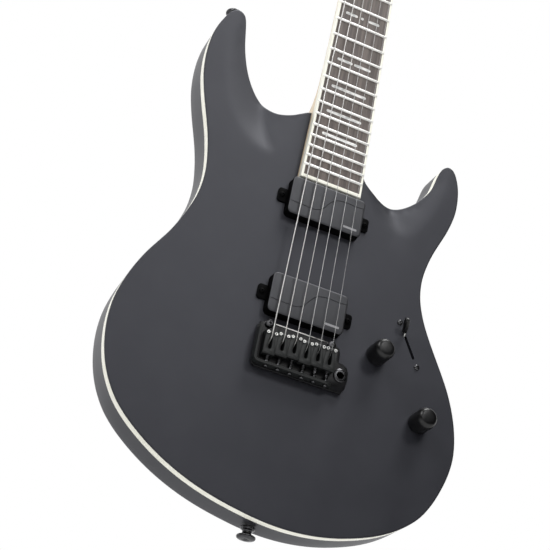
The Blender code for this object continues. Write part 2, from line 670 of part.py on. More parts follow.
def make_controls():
    knob_profile = [(3.05, 20.5), (3.05, 9.5), (KNOB_RADIUS, 9.5), (KNOB_RADIUS, -8.0),
                    (8.7, -9.6), (7.6, -10.6), (4.0, -11.0)]
    knob = finish_mesh("knob", turned(knob_profile, (0, 0, 0), (0, 1, 0), 20))
    pot_profile = [(4.5, BODY_FRONT - 0.2), (4.5, CAVITY_FLOOR + 0.4), (8.2, CAVITY_FLOOR + 0.4),
                   (8.2, 26.5), (7.4, 27.5)]
    pot = finish_mesh("pot", turned(pot_profile, (0, 0, 0), (0, 1, 0), 16),
                      cut=[turned([(3.45, 0.0), (3.45, 22.0)], (0, 0, 0), (0, 1, 0), 16)])
    for label, (x, z) in KNOBS.items():
        place(label + "_knob", knob, "black_metal", origin=(x, 0, z))
        place(label + "_pot", pot, "zinc", origin=(x, 0, z))

    plate = prism(turned_rect(0, 0, 46.0, 9.6, SWITCH_DIR), CAVITY_FLOOR + GAP, 18.0)
    wafer = prism(turned_rect(0, 0, 36.0, 9.0, SWITCH_DIR), 17.5, 38.0)
    channel = prism(turned_rect(0, 0, 28.0, 3.8, SWITCH_DIR), 0.0, 34.0)
    place("switch_body", finish_mesh("switch_body", plate, join=[wafer], cut=[channel]), "zinc",
          origin=(SWITCH_X, 0, SWITCH_Z))

    d = SWITCH_DIR
    side = Vector((-d.z, 0, d.x))
    rings = []
    for h, along, across in ((-3.0, 2.2, 1.2), (20.4, 1.6, 1.2), (21.6, 2.4, 2.0),
                             (27.0, 2.9, 2.4), (33.5, 2.8, 2.2), (35.4, 1.8, 1.4)):
        ring = []
        for sa, sb in ((-1, -1), (1, -1), (1, 1), (-1, 1)):
            ring.append(Vector((0, -h, 0)) + d * (sa * along) + side * (sb * across))
        rings.append(ring)
    lever = loft(rings)
    bmesh.ops.rotate(lever, verts=lever.verts, cent=(0, 0, 0),
                     matrix=Matrix.Rotation(-LEVER_TILT, 3, side))
    hub = pivot("switch_pivot", (SWITCH_X, LEVER_PIVOT_Y, SWITCH_Z))
    place("switch_lever", finish_mesh("switch_lever", lever), "black_plastic",
          origin=(SWITCH_X, LEVER_PIVOT_Y, SWITCH_Z), parent=hub)

    seat, outward = jack_seat()
    barrel = turned([(5.9, -26.0), (5.9, GAP), (11.0, GAP), (11.2, 1.1), (10.4, 1.8),
                     (8.2, 2.0)], (0, 0, 0), outward, 18)
    socket = turned([(3.35, -22.0), (3.35, 12.0)], (0, 0, 0), outward, 16)
    place("output_jack", finish_mesh("output_jack", barrel, cut=[socket]), "black_metal",
          origin=seat)


def make_back_parts():
    back = BODY_BACK
    front = back - COVER_DEPTH
    place("spring_cover", finish_mesh("spring_cover", prism(
        rounded_rect(0, -621.5, 97.0, 154.0, 6.5), front, back)), "black_plastic")
    cover = inset([Vector(p) for p in CONTROL_CAVITY], -4.0)
    place("control_cover", finish_mesh("control_cover", prism(cover, front, back)),
          "black_plastic")
    place("battery", finish_mesh("battery", block(-102.3, -75.8, 31.0, 48.5, -702.0, -653.5),
                                 bevel=(1.5, 1)), "battery")
    hinge = Vector((-89.0, back - 0.9, -646.0))
    hub = pivot("battery_lid_hinge", hinge)
    lid = block(-109.0, -69.0, front, back, -710.0, -645.2)
    place("battery_lid", finish_mesh("battery_lid", shifted(lid, -hinge)), "black_plastic",
          origin=hinge, parent=hub)


def main():
    clear_scene()
    make_body()
    make_binding()
    make_neck()
    make_fretboard()
    make_nut()
    make_neck_plate()
    strap_button("strap_button_tail", (-4.2, 30.0, -801.9), (0, 0, -1))
    strap_button("strap_button_horn", (-113.0, 30.0, -351.7), (0, 0, 1))
    for name in PICKUP_Z:
        make_pickup(name)
    make_vibrato()
    make_springs()
    make_strings()
    make_tuners()
    make_controls()
    make_back_parts()


main()
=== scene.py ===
"""Looks of the electric guitar: fine surfaces, procedural materials, studio and camera.

Lengths in this script are millimetres in the guitar's own frame (front -Y, treble +X, head +Z);
solids are scaled to metres when they become objects.
"""
import json
import math

import bmesh
import bpy
from mathutils import Matrix, Vector
from mathutils.geometry import delaunay_2d_cdt

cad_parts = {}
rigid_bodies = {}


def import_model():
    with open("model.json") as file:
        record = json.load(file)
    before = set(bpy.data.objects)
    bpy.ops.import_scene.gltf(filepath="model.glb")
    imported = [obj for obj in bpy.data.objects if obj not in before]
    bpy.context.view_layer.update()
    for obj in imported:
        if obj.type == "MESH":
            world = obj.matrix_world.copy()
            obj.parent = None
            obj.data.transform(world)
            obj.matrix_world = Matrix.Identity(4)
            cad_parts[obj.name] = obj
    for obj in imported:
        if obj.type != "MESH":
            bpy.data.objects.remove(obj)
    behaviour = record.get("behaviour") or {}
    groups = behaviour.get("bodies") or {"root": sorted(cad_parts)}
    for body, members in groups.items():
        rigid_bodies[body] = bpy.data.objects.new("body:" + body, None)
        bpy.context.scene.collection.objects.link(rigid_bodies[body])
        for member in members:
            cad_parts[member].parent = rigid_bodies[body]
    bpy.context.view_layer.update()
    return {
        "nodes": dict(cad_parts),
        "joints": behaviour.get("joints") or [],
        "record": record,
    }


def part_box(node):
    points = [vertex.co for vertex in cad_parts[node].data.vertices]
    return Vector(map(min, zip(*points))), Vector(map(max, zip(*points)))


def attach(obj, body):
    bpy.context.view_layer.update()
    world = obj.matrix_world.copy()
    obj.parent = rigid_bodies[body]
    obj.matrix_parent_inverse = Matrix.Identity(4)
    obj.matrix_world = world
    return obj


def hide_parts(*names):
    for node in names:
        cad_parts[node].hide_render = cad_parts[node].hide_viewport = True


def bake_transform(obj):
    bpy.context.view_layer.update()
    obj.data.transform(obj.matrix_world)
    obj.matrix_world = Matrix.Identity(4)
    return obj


MM = 0.001
STRINGS = range(1, 7)

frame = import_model()


# ---------------------------------------------------------------- measures from the frame

def box(node):
    """Low and high corners of a CAD node, in millimetres."""
    low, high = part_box(node)
    return low / MM, high / MM


def centre(node):
    low, high = box(node)
    return (low + high) / 2


def joint(name):
    return next(j for j in frame["joints"] if j["name"] == name)


SCALE_LENGTH = 648.0
FRETS = 24
BODY_FRONT = 10.0
BODY_BACK = box("body")[1].y
BACK_ROUND = 9.0
RIM_RADIUS = 0.8
BINDING_FRONT, BINDING_BACK = box("body_binding")[0].y, box("body_binding")[1].y
BINDING_WIDTH = 2.0
SIDE_LEVEL = 32.0
COVER_FRONT = box("spring_cover")[0].y
COVER_CORNER = 6.5
GAP = 0.3
PLANE_TOLERANCE = 0.02
BOARD_END = box("fretboard")[0].z
BOARD_TOP = 1.0
BOARD_BOTTOM = box("fretboard")[1].y
HEAD_FRONT, HEAD_BACK = 8.2, 21.2
NUT_HALF = box("nut")[1].x
HEEL_HALF = box("fretboard")[1].x
STRING_RADII = [0.127, 0.165, 0.216, 0.33, 0.457, 0.584]
NUT_SPREAD, BRIDGE_SPREAD = 35.0, 52.5
SADDLE_PITCH = BRIDGE_SPREAD / 5
SADDLE_AHEAD, SADDLE_BEHIND = 3.0, 18.3
BEYOND_BACK = 60.0

# soft creases that bound the two carved scoops, from the horn's tip inwards: (x, z). The bass
# crease runs to the neck; the treble scoop fades out along its root beside the pickup
BASS_CREASE = [(-112, -351), (-117, -384), (-114, -411), (-108, -435), (-98, -458), (-84, -475),
               (-67, -484), (-54, -483), (-47, -466), (-41, -447), (-38, -430)]
TREBLE_CREASE = [(113, -430), (113, -446), (110, -458), (106, -471), (100, -487), (93, -499),
                 (86, -511), (77, -519), (67, -522), (57, -521)]
TREBLE_ROOT = [(57, -521), (50, -513), (45, -503), (41, -493), (37, -479)]
BASS_SLOPE, TREBLE_SLOPE = 0.20, 0.19
SOFT_CREASE = 5.0
ROOT_FADE = 26.0


def mount(name):
    """A mount's point in millimetres, and its axis."""
    found = next(m for m in frame["record"]["mounts"] if m["name"] == name)
    return Vector(found["pos_m"]) / MM, Vector(found["axis"])


def fret_z(n):
    return -SCALE_LENGTH * (1 - 2 ** (-n / 12))


def board_half(z):
    return NUT_HALF + (HEEL_HALF - NUT_HALF) * (z / BOARD_END)


def string_x(string, spread):
    return spread * (0.5 - (string - 1) / 5)


def break_point(string):
    """Where a string leaves its saddle, a little behind the saddle's front edge."""
    low, high = box("saddle_%d" % string)
    return Vector((string_x(string, BRIDGE_SPREAD), low.y, high.z - SADDLE_AHEAD))


# ---------------------------------------------------------------- materials

RAMP_STOPS = (0.35, 0.65)


def node(tree, kind, **values):
    """Adds a node; keyword values go to its sockets by name, with _ for a space."""
    made = tree.nodes.new(kind)
    made.location.x = -200 * len(tree.nodes)
    for key, value in values.items():
        made.inputs[key.replace("_", " ")].default_value = value
    return made


def connect(tree, *wires):
    """Links nodes: each wire is a node, its output, the next node and its input."""
    for source, output, target, entry in wires:
        tree.links.new(source.outputs[output], target.inputs[entry])


def finish(name, dark, light, rough, metal=0.0, grain=300.0, stretch=(1, 1, 1), detail=4.0,
           spread=0.05, bump=0.05, bump_grain=2500.0, depth=0.00005, specular=0.5, coat=0.0,
           tint=(1, 1, 1)):
    """Surface whose colour, roughness and fine relief all vary with procedural noise."""
    mat = bpy.data.materials.new(name)
    mat.use_nodes = True
    tree = mat.node_tree
    shader = tree.nodes["Principled BSDF"]
    shader.inputs["Metallic"].default_value = metal
    shader.inputs["Specular IOR Level"].default_value = specular
    shader.inputs["Specular Tint"].default_value = (*tint, 1.0)
    shader.inputs["Coat Weight"].default_value = coat
    place = node(tree, "ShaderNodeTexCoord")
    mapping = node(tree, "ShaderNodeMapping", Scale=stretch)
    noise = node(tree, "ShaderNodeTexNoise", Scale=grain, Detail=detail)
    ramp = node(tree, "ShaderNodeValToRGB")
    for stop, position, colour in zip(ramp.color_ramp.elements, RAMP_STOPS, (dark, light)):
        stop.position = position
        stop.color = (*colour, 1.0)
    roughness = node(tree, "ShaderNodeMapRange", To_Min=rough - spread, To_Max=rough + spread)
    fine = node(tree, "ShaderNodeTexNoise", Scale=bump_grain, Detail=3.0)
    relief = node(tree, "ShaderNodeBump", Strength=bump, Distance=depth)
    connect(tree, (place, "Object", mapping, "Vector"), (mapping, "Vector", noise, "Vector"),
            (mapping, "Vector", fine, "Vector"), (noise, "Fac", ramp, "Fac"),
            (noise, "Fac", roughness, "Value"), (fine, "Fac", relief, "Height"),
            (ramp, "Color", shader, "Base Color"), (roughness, "Result", shader, "Roughness"),
            (relief, "Normal", shader, "Normal"))
    return mat


def wound(name, dark, light, pitch, rough):
    """Steel wrap of a bass string: close turns across the string."""
    mat = finish(name, dark, light, rough, metal=1.0, grain=900.0)
    tree = mat.node_tree
    wave = node(tree, "ShaderNodeTexWave", Scale=math.pi / (10 * pitch * MM))
    wave.bands_direction = "Z"
    relief = next(n for n in tree.nodes if n.bl_idname == "ShaderNodeBump")
    relief.inputs["Strength"].default_value = 0.5
    connect(tree, (tree.nodes["Texture Coordinate"], "Object", wave, "Vector"),
            (wave, "Fac", relief, "Height"))
    return mat


MATERIALS = {
    "lacquer": finish("satin_lacquer", (0.0145, 0.0148, 0.0185), (0.0180, 0.0184, 0.0225), 0.46,
                      grain=35.0, spread=0.03, bump=0.06, bump_grain=3500.0,
                      tint=(0.88, 0.90, 1.0)),
    "cream": finish("cream_binding", (0.86, 0.85, 0.74), (0.91, 0.90, 0.81), 0.38, grain=60.0),
    "maple": finish("maple", (0.62, 0.48, 0.32), (0.74, 0.61, 0.44), 0.42, grain=70.0,
                    stretch=(1, 1, 0.06), bump=0.12, bump_grain=900.0, depth=0.0001),
    "board": finish("dark_board_wood", (0.060, 0.046, 0.040), (0.125, 0.100, 0.088), 0.55,
                    grain=420.0, stretch=(1, 1, 0.05), bump=0.25, bump_grain=1400.0,
                    depth=0.0002, detail=8.0),
    "pearl": finish("pearl", (0.46, 0.47, 0.46), (0.86, 0.84, 0.82), 0.25, grain=260.0,
                    stretch=(1, 1, 1.6), coat=0.6, spread=0.04),
    "fret": finish("fret_wire", (0.86, 0.85, 0.82), (0.95, 0.94, 0.91), 0.45, metal=0.45),
    "nut": finish("black_nut", (0.020, 0.020, 0.021), (0.035, 0.035, 0.036), 0.45),
    "black_metal": finish("black_plated_metal", (0.004, 0.004, 0.0045), (0.007, 0.007, 0.008), 0.30,
                          grain=220.0, spread=0.06, specular=0.22),
    "saddle": finish("satin_black_steel", (0.006, 0.007, 0.007), (0.010, 0.011, 0.011), 0.45,
                     grain=260.0, specular=0.28),
    "bright_black": finish("bright_black_metal", (0.05, 0.05, 0.053), (0.09, 0.09, 0.094), 0.24,
                           metal=0.9),
    "screw": finish("screw_steel", (0.42, 0.42, 0.41), (0.62, 0.62, 0.60), 0.28, metal=1.0),
    "cover": finish("pickup_plastic", (0.016, 0.016, 0.017), (0.021, 0.021, 0.022), 0.46,
                    grain=120.0, spread=0.04, specular=0.62, tint=(0.90, 0.92, 1.0)),
    # near-black copy of the pickup plastic with almost no reflection: painted shade for the
    # pickups' sides, ears and ear screws
    "painted_shade_plastic": finish("pickup_painted_shade", (0.001, 0.001, 0.0012), (0.002, 0.002, 0.0022), 0.5,
                         grain=120.0, spread=0.04, specular=0.03),
    "mark": finish("pale_print", (0.20, 0.20, 0.21), (0.30, 0.30, 0.31), 0.5, grain=2600.0),
    "plastic": finish("black_plastic", (0.003, 0.003, 0.0035), (0.006, 0.006, 0.0065), 0.42,
                      bump=0.12, bump_grain=5000.0, specular=0.25),
    "knob": finish("black_knob", (0.003, 0.003, 0.0035), (0.005, 0.005, 0.0055), 0.30, grain=150.0,
                   specular=0.4),
    "steel": finish("bright_steel", (0.52, 0.52, 0.51), (0.68, 0.68, 0.66), 0.30, metal=1.0),
    "zinc": finish("cast_zinc", (0.36, 0.36, 0.36), (0.50, 0.50, 0.50), 0.45, metal=0.9,
                   bump=0.3, depth=0.0002),
    "battery": finish("battery_case", (0.05, 0.05, 0.055), (0.09, 0.09, 0.095), 0.4, metal=0.3),
    "plain_string": finish("plain_string", (0.42, 0.42, 0.42), (0.52, 0.52, 0.52), 0.36,
                           metal=1.0),
    "wound_string": wound("wound_string", (0.44, 0.43, 0.42), (0.56, 0.55, 0.54), 0.38, 0.36),
    "floor": finish("pale_floor", (0.80, 0.80, 0.80), (0.84, 0.84, 0.84), 0.7, grain=3.0,
                    spread=0.05, bump_grain=60.0, depth=0.001),
}

# the frame's slot that a finish belongs to, unless a piece says otherwise
SLOTS = {
    "lacquer": "body_lacquer", "cream": "binding", "pearl": "binding", "maple": "neck_wood",
    "board": "board_wood", "fret": "steel", "steel": "steel", "screw": "steel",
    "plain_string": "steel", "wound_string": "steel", "black_metal": "black_hardware",
    "saddle": "black_hardware", "bright_black": "black_hardware", "cover": "pickup_cover",
    "painted_shade_plastic": "pickup_cover", "mark": "pickup_cover", "plastic": "black_plastic",
    "knob": "knob", "battery": "battery_case",
}


# ---------------------------------------------------------------- plane curves

def catmull(p0, p1, p2, p3, t):
    """Point at t (0 to 1) between p1 and p2 on a centripetal Catmull-Rom curve."""
    k0 = 0.0
    k1 = k0 + (p1 - p0).length ** 0.5
    k2 = k1 + (p2 - p1).length ** 0.5
    k3 = k2 + (p3 - p2).length ** 0.5
    k = k1 + (k2 - k1) * t
    a1 = p0 * (k1 - k) / (k1 - k0) + p1 * (k - k0) / (k1 - k0)
    a2 = p1 * (k2 - k) / (k2 - k1) + p2 * (k - k1) / (k2 - k1)
    a3 = p2 * (k3 - k) / (k3 - k2) + p3 * (k - k2) / (k3 - k2)
    b1 = a1 * (k2 - k) / (k2 - k0) + a2 * (k - k0) / (k2 - k0)
    b2 = a2 * (k3 - k) / (k3 - k1) + a3 * (k - k1) / (k3 - k1)
    return b1 * (k2 - k) / (k2 - k1) + b2 * (k - k1) / (k2 - k1)


def smooth_closed(points, steps):
    pts = [Vector(p) for p in points]
    n = len(pts)
    return [catmull(pts[i - 1], pts[i], pts[(i + 1) % n], pts[(i + 2) % n], s / steps)
            for i in range(n) for s in range(steps)]


def smooth_open(points, steps):
    pts = [Vector(p) for p in points]
    pts = [2 * pts[0] - pts[1]] + pts + [2 * pts[-1] - pts[-2]]
    out = [catmull(pts[i - 1], pts[i], pts[i + 1], pts[i + 2], s / steps)
           for i in range(1, len(pts) - 2) for s in range(steps)]
    return out + [pts[-2]]


def inward_normals(outline):
    area = sum(a.x * b.y - b.x * a.y for a, b in zip(outline, outline[1:] + outline[:1]))
    turn = 1.0 if area > 0 else -1.0
    n = len(outline)
    normals = []
    for i in range(n):
        along = (outline[(i + 1) % n] - outline[i - 1]).normalized()
        normals.append(Vector((-along.y, along.x)) * turn)
    return normals


def inset(outline, distance):
    """Moves each point inwards, less where the shape is too sharply bent."""
    moved = []
    for p, normal in zip(outline, inward_normals(outline)):
        room = 1e9
        if distance > 0:
            for q in outline:
                ahead = (q - p).dot(normal)
                if ahead > 1e-6:
                    room = min(room, (q - p).length_squared / (2 * ahead))
        moved.append(p + normal * min(distance, 0.8 * room))
    return moved


def rounded_rect(cx, cz, wx, wz, r, steps=6):
    pts = []
    for qx, qz, start in ((1, 1, 0), (-1, 1, 90), (-1, -1, 180), (1, -1, 270)):
        for s in range(steps + 1):
            a = math.radians(start + 90 * s / steps)
            pts.append(Vector((cx + qx * (wx / 2 - r) + r * math.cos(a),
                               cz + qz * (wz / 2 - r) + r * math.sin(a))))
    return pts


def turned_rect(cx, cz, length, width, direction, r):
    """Rectangle in the face plane with its length along a direction."""
    d = Vector((direction.x, direction.z))
    n = Vector((-d.y, d.x))
    return [Vector((cx, cz)) + d * p.x + n * p.y for p in rounded_rect(0, 0, length, width, r, 3)]


def box_outline(node_name, corner, grow=0.0):
    """Rounded rectangle round a node's box, seen from the front."""
    low, high = box(node_name)
    return rounded_rect((low.x + high.x) / 2, (low.z + high.z) / 2, high.x - low.x + 2 * grow,
                        high.z - low.z + 2 * grow, corner + grow)


def near_plane_loop(node_name, y):
    """The CAD solid's longest closed loop of edges that lies in the plane at depth y: (x, z)."""
    bm = bmesh.new()
    bm.from_mesh(frame["nodes"][node_name].data)
    bmesh.ops.remove_doubles(bm, verts=bm.verts, dist=1e-6)
    flat = {v for v in bm.verts if abs(v.co.y / MM - y) < PLANE_TOLERANCE}

    def is_border(edge):
        if edge.verts[0] not in flat or edge.verts[1] not in flat:
            return False
        level = [f for f in edge.link_faces if all(v in flat for v in f.verts)]
        return len(level) != 2
    after = {}
    for edge in bm.edges:
        if is_border(edge):
            for a, b in ((0, 1), (1, 0)):
                after.setdefault(edge.verts[a], []).append(edge.verts[b])
    loops = []
    while after:
        start = next(iter(after))
        loop, here = [start], start
        while after.get(here):
            ahead = after[here].pop()
            after[ahead].remove(here)
            if ahead == start:
                break
            loop.append(ahead)
            here = ahead
        for v in loop:
            if not after.get(v):
                after.pop(v, None)
        loops.append([Vector((v.co.x / MM, v.co.z / MM)) for v in loop])
    bm.free()

    def span(loop):
        return sum((a - b).length for a, b in zip(loop, loop[1:] + loop[:1]))
    return max(loops, key=span)


# ---------------------------------------------------------------- solids

def loft(rings, closed=False):
    """Skins a list of equal rings of 3-D points."""
    bm = bmesh.new()
    layers = [[bm.verts.new(p) for p in ring] for ring in rings]
    n = len(layers[0])
    pairs = list(zip(layers, layers[1:])) + ([(layers[-1], layers[0])] if closed else [])
    for a, b in pairs:
        for i in range(n):
            j = (i + 1) % n
            bm.faces.new((a[i], a[j], b[j], b[i]))
    if not closed:
        bm.faces.new(layers[0])
        bm.faces.new(layers[-1])
    bmesh.ops.recalc_face_normals(bm, faces=bm.faces)
    return bm


def stack(levels):
    """Solid through (outline, depth) levels."""
    return loft([[Vector((p.x, y, p.y)) for p in outline] for outline, y in levels])


def prism(outline, y0, y1, edge=0.0):
    """Plate between two depths; edge rounds its front rim."""
    outline = [Vector(p) for p in outline]
    if not edge:
        return stack([(outline, y0), (outline, y1)])
    levels = [(inset(outline, edge * (1 - math.sin(a))), y0 + edge * (1 - math.cos(a)))
              for a in (0, math.radians(30), math.radians(60))]
    return stack(levels + [(outline, y0 + edge), (outline, y1)])


def block(low, high, edge=0.0):
    """Box between two corners, with its edges rounded."""
    centre_at = (Vector(low) + Vector(high)) / 2
    size = Vector(high) - Vector(low)
    bm = bmesh.new()
    bmesh.ops.create_cube(bm, size=1.0)
    for v in bm.verts:
        v.co = Vector(a * b for a, b in zip(v.co, size)) + centre_at
    if edge:
        bmesh.ops.bevel(bm, geom=bm.edges, offset=edge, segments=2, profile=0.6,
                        affect="EDGES", clamp_overlap=True)
    return bm


def bulged(value, exponent):
    """Power that keeps its sign, for super-ellipse sections."""
    return math.copysign(abs(value) ** exponent, value)


def circle(sides, phase=0.0):
    """Angles in equal steps, once round."""
    return [2 * math.pi * (k + phase) / sides for k in range(sides)]


def turned(profile, at, axis=(0, 1, 0), sides=28):
    """Solid of revolution: (radius, height) pairs along an axis that starts at a point."""
    axis = Vector(axis).normalized()
    side = axis.orthogonal().normalized()
    other = axis.cross(side)
    rings = []
    for r, h in profile:
        rings.append([Vector(at) + axis * h + (side * math.cos(a) + other * math.sin(a)) * r
                      for a in circle(sides, 0.5)])
    return loft(rings)


def rod(radius, start, end, at, axis=(0, 1, 0), sides=28):
    """Plain cylinder between two heights on an axis; also the shape of every drilled hole."""
    return turned([(radius, start), (radius, end)], at, axis, sides)


def ring(section, at, axis=(0, 1, 0), sides=36):
    """Turned part with an open middle: section is a closed loop of (radius, height)."""
    axis = Vector(axis).normalized()
    side = axis.orthogonal().normalized()
    other = axis.cross(side)
    rings = []
    for a in circle(sides):
        radial = side * math.cos(a) + other * math.sin(a)
        rings.append([Vector(at) + axis * h + radial * r for r, h in section])
    return loft(rings, closed=True)


def tube(path, radius, sides):
    """Round bar along a path, with its frame carried along so it doesn't twist."""
    pts = [Vector(p) for p in path]
    rings = []
    side = None
    for i, p in enumerate(pts):
        ahead = (pts[min(i + 1, len(pts) - 1)] - pts[max(i - 1, 0)]).normalized()
        side = ahead.orthogonal() if side is None else side - ahead * side.dot(ahead)
        side.normalize()
        other = ahead.cross(side)
        rings.append([p + (side * math.cos(a) + other * math.sin(a)) * radius
                      for a in circle(sides)])
    return loft(rings)


def helix(x, y, z, radius, length, turns, steps):
    """Points of a coil whose axis runs along Z."""
    points = []
    for k in range(turns * steps + 1):
        a = 2 * math.pi * k / steps
        points.append((x + radius * math.cos(a), y + radius * math.sin(a),
                       z + length * k / (turns * steps)))
    return points


def joined(parts):
    """Several separate solids in one mesh."""
    bm = bmesh.new()
    for part in parts:
        mesh = bpy.data.meshes.new("part")
        part.to_mesh(mesh)
        part.free()
        bm.from_mesh(mesh)
        bpy.data.meshes.remove(mesh)
    return bm


def evaluated(bm, union, cut, bevel):
    """Mesh in metres after Booleans with lists of solids and an edge bevel (width, steps)."""
    links = bpy.context.scene.collection.objects

    def temporary(source):
        mesh = bpy.data.meshes.new("work")
        source.to_mesh(mesh)
        source.free()
        mesh.transform(Matrix.Scale(MM, 4))
        ob = bpy.data.objects.new("work", mesh)
        links.link(ob)
        return ob
    base = temporary(bm)
    helpers = []
    for kind, solids in (("UNION", union), ("DIFFERENCE", cut)):
        for helper in [temporary(solid) for solid in solids]:
            helpers.append(helper)
            mod = base.modifiers.new(kind, "BOOLEAN")
            mod.operation, mod.solver, mod.object = kind, "EXACT", helper
    if bevel:
        mod = base.modifiers.new("bevel", "BEVEL")
        mod.width, mod.segments = bevel[0] * MM, bevel[1]
        mod.limit_method, mod.angle_limit = "ANGLE", math.radians(40)
        mod.harden_normals = False
    graph = bpy.context.evaluated_depsgraph_get()
    mesh = bpy.data.meshes.new_from_object(base.evaluated_get(graph))
    for ob in [base] + helpers:
        work = ob.data
        bpy.data.objects.remove(ob, do_unlink=True)
        bpy.data.meshes.remove(work)
    return mesh


def add(name, solid, finish_name, body="guitar", slot=None, replaces=(), union=(), cut=(),
        bevel=None, smooth=35, ride=True):
    """Makes a piece of the guitar from a solid and lets it ride on a body."""
    mesh = evaluated(solid, union, cut, bevel)
    mesh.materials.clear()
    mesh.materials.append(MATERIALS[finish_name])
    mesh.shade_smooth()
    mesh.set_sharp_from_angle(angle=math.radians(smooth))
    mesh.name = name
    ob = bpy.data.objects.new(name, mesh)
    bpy.context.scene.collection.objects.link(ob)
    if ride:
        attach(ob, body)
    slot = slot or SLOTS.get(finish_name)
    if replaces:
        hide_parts(*replaces)
    return ob


# ---------------------------------------------------------------- body

def distance_to(point, line):
    """Distance from a point to an open polyline."""
    best = 1e9
    for a, b in zip(line, line[1:]):
        ab = b - a
        t = max(0.0, min(1.0, (point - a).dot(ab) / ab.length_squared))
        best = min(best, (a + ab * t - point).length)
    return best


def inside(point, polygon):
    """Whether a point lies in a closed polygon."""
    within = False
    for a, b in zip(polygon, polygon[1:] + polygon[:1]):
        if (a.y > point.y) != (b.y > point.y):
            if point.x < (b.x - a.x) * (point.y - a.y) / (b.y - a.y) + a.x:
                within = not within
    return within


class Scoop:
    """Flat carved between a crease and the cutaway's edge, deepest at the edge."""

    def __init__(self, crease, outline, slope, root=()):
        self.slope = slope
        self.crease = smooth_open(crease, 4)
        self.root = smooth_open(root, 4) if root else []
        n = len(outline)
        ends = [min(range(n), key=lambda i: (outline[i] - p).length)
                for p in (self.crease[0], (self.root or self.crease)[-1])]
        forward = [outline[(ends[1] + k) % n] for k in range((ends[0] - ends[1]) % n + 1)]
        backward = [outline[(ends[1] - k) % n] for k in range((ends[1] - ends[0]) % n + 1)]
        self.edge = min((forward, backward), key=len)
        self.region = self.crease + self.root[1:] + self.edge

    def depth(self, p):
        to_edge = distance_to(p, self.edge)
        if to_edge > 1.5 and not inside(p, self.region):
            return 0.0
        away = distance_to(p, self.crease)
        rise = min(1.0, distance_to(p, self.root) / ROOT_FADE) if self.root else 1.0
        return self.slope * away * away / (away + SOFT_CREASE) * rise * rise * (3 - 2 * rise)


def top_surface(rim, depths, depth_at):
    """Triangulated top inside a rim loop, with points on a grid that is finer where carved."""
    step = 5.0
    coarse = 20.0
    points = [p.copy() for p in rim]
    edges = [(i, (i + 1) % len(rim)) for i in range(len(rim))]
    low_x, high_x = min(p.x for p in rim), max(p.x for p in rim)
    low_z, high_z = min(p.y for p in rim), max(p.y for p in rim)
    carved_from = -535.0
    z = low_z + step / 2
    row = 0
    while z < high_z:
        spacing = step if z > carved_from else coarse
        x = low_x + spacing / 2 + (row % 2) * spacing / 2
        while x < high_x:
            p = Vector((x, z))
            if inside(p, rim) and distance_to(p, rim + rim[:1]) > 0.45 * step:
                points.append(p)
            x += spacing
        z += spacing
        row += 1
    verts, _, faces, _, _, _ = delaunay_2d_cdt(points, edges, [], 1, 1e-5)
    placed = [Vector((v.x, depths[i] if i < len(rim) else BODY_FRONT + depth_at(v), v.y))
              for i, v in enumerate(verts)]
    return placed, faces


def make_body():
    outline = smooth_closed(near_plane_loop("body", BODY_BACK - BACK_ROUND), 3)
    scoops = [Scoop(BASS_CREASE, outline, BASS_SLOPE),
              Scoop(TREBLE_CREASE, outline, TREBLE_SLOPE, TREBLE_ROOT)]

    def depth_at(p):
        return max(s.depth(p) for s in scoops)

    drop = [depth_at(p) for p in outline]
    rim = inset(outline, RIM_RADIUS + 0.7)
    placed, faces = top_surface(rim, [BODY_FRONT + d for d in drop], depth_at)

    bm = bmesh.new()
    top = [bm.verts.new(p) for p in placed]
    for face in faces:
        bm.faces.new([top[i] for i in face])
    layers = [top[:len(rim)]]

    def layer(distance, y, follow):
        edge = inset(outline, distance) if distance else outline
        layers.append([bm.verts.new((p.x, y + follow * d, p.y)) for p, d in zip(edge, drop)])
    layer(RIM_RADIUS, BODY_FRONT, 1)
    layer(0.30 * RIM_RADIUS, BODY_FRONT + 0.25 * RIM_RADIUS, 1)
    layer(0.0, BODY_FRONT + RIM_RADIUS, 1)
    layer(0.0, BINDING_FRONT - 0.05, 1)
    layer(BINDING_WIDTH, BINDING_FRONT - 0.04, 1)
    layer(BINDING_WIDTH, BINDING_BACK + 0.04, 1)
    layer(0.0, BINDING_BACK + 0.05, 1)
    layer(0.0, SIDE_LEVEL, 0)
    for degrees in range(0, 91, 10):
        a = math.radians(degrees)
        layer(BACK_ROUND * (1 - math.cos(a)), BODY_BACK - BACK_ROUND * (1 - math.sin(a)), 0)
    for a, b in zip(layers, layers[1:]):
        for i in range(len(a)):
            j = (i + 1) % len(a)
            bm.faces.new((a[i], a[j], b[j], b[i]))
    bm.faces.new(layers[-1])
    bmesh.ops.recalc_face_normals(bm, faces=bm.faces)
    add("body_shell", bm, "lacquer", replaces=["body"],
        cut=[joined(group) for group in body_cuts()], smooth=32)
    make_binding(outline, drop)


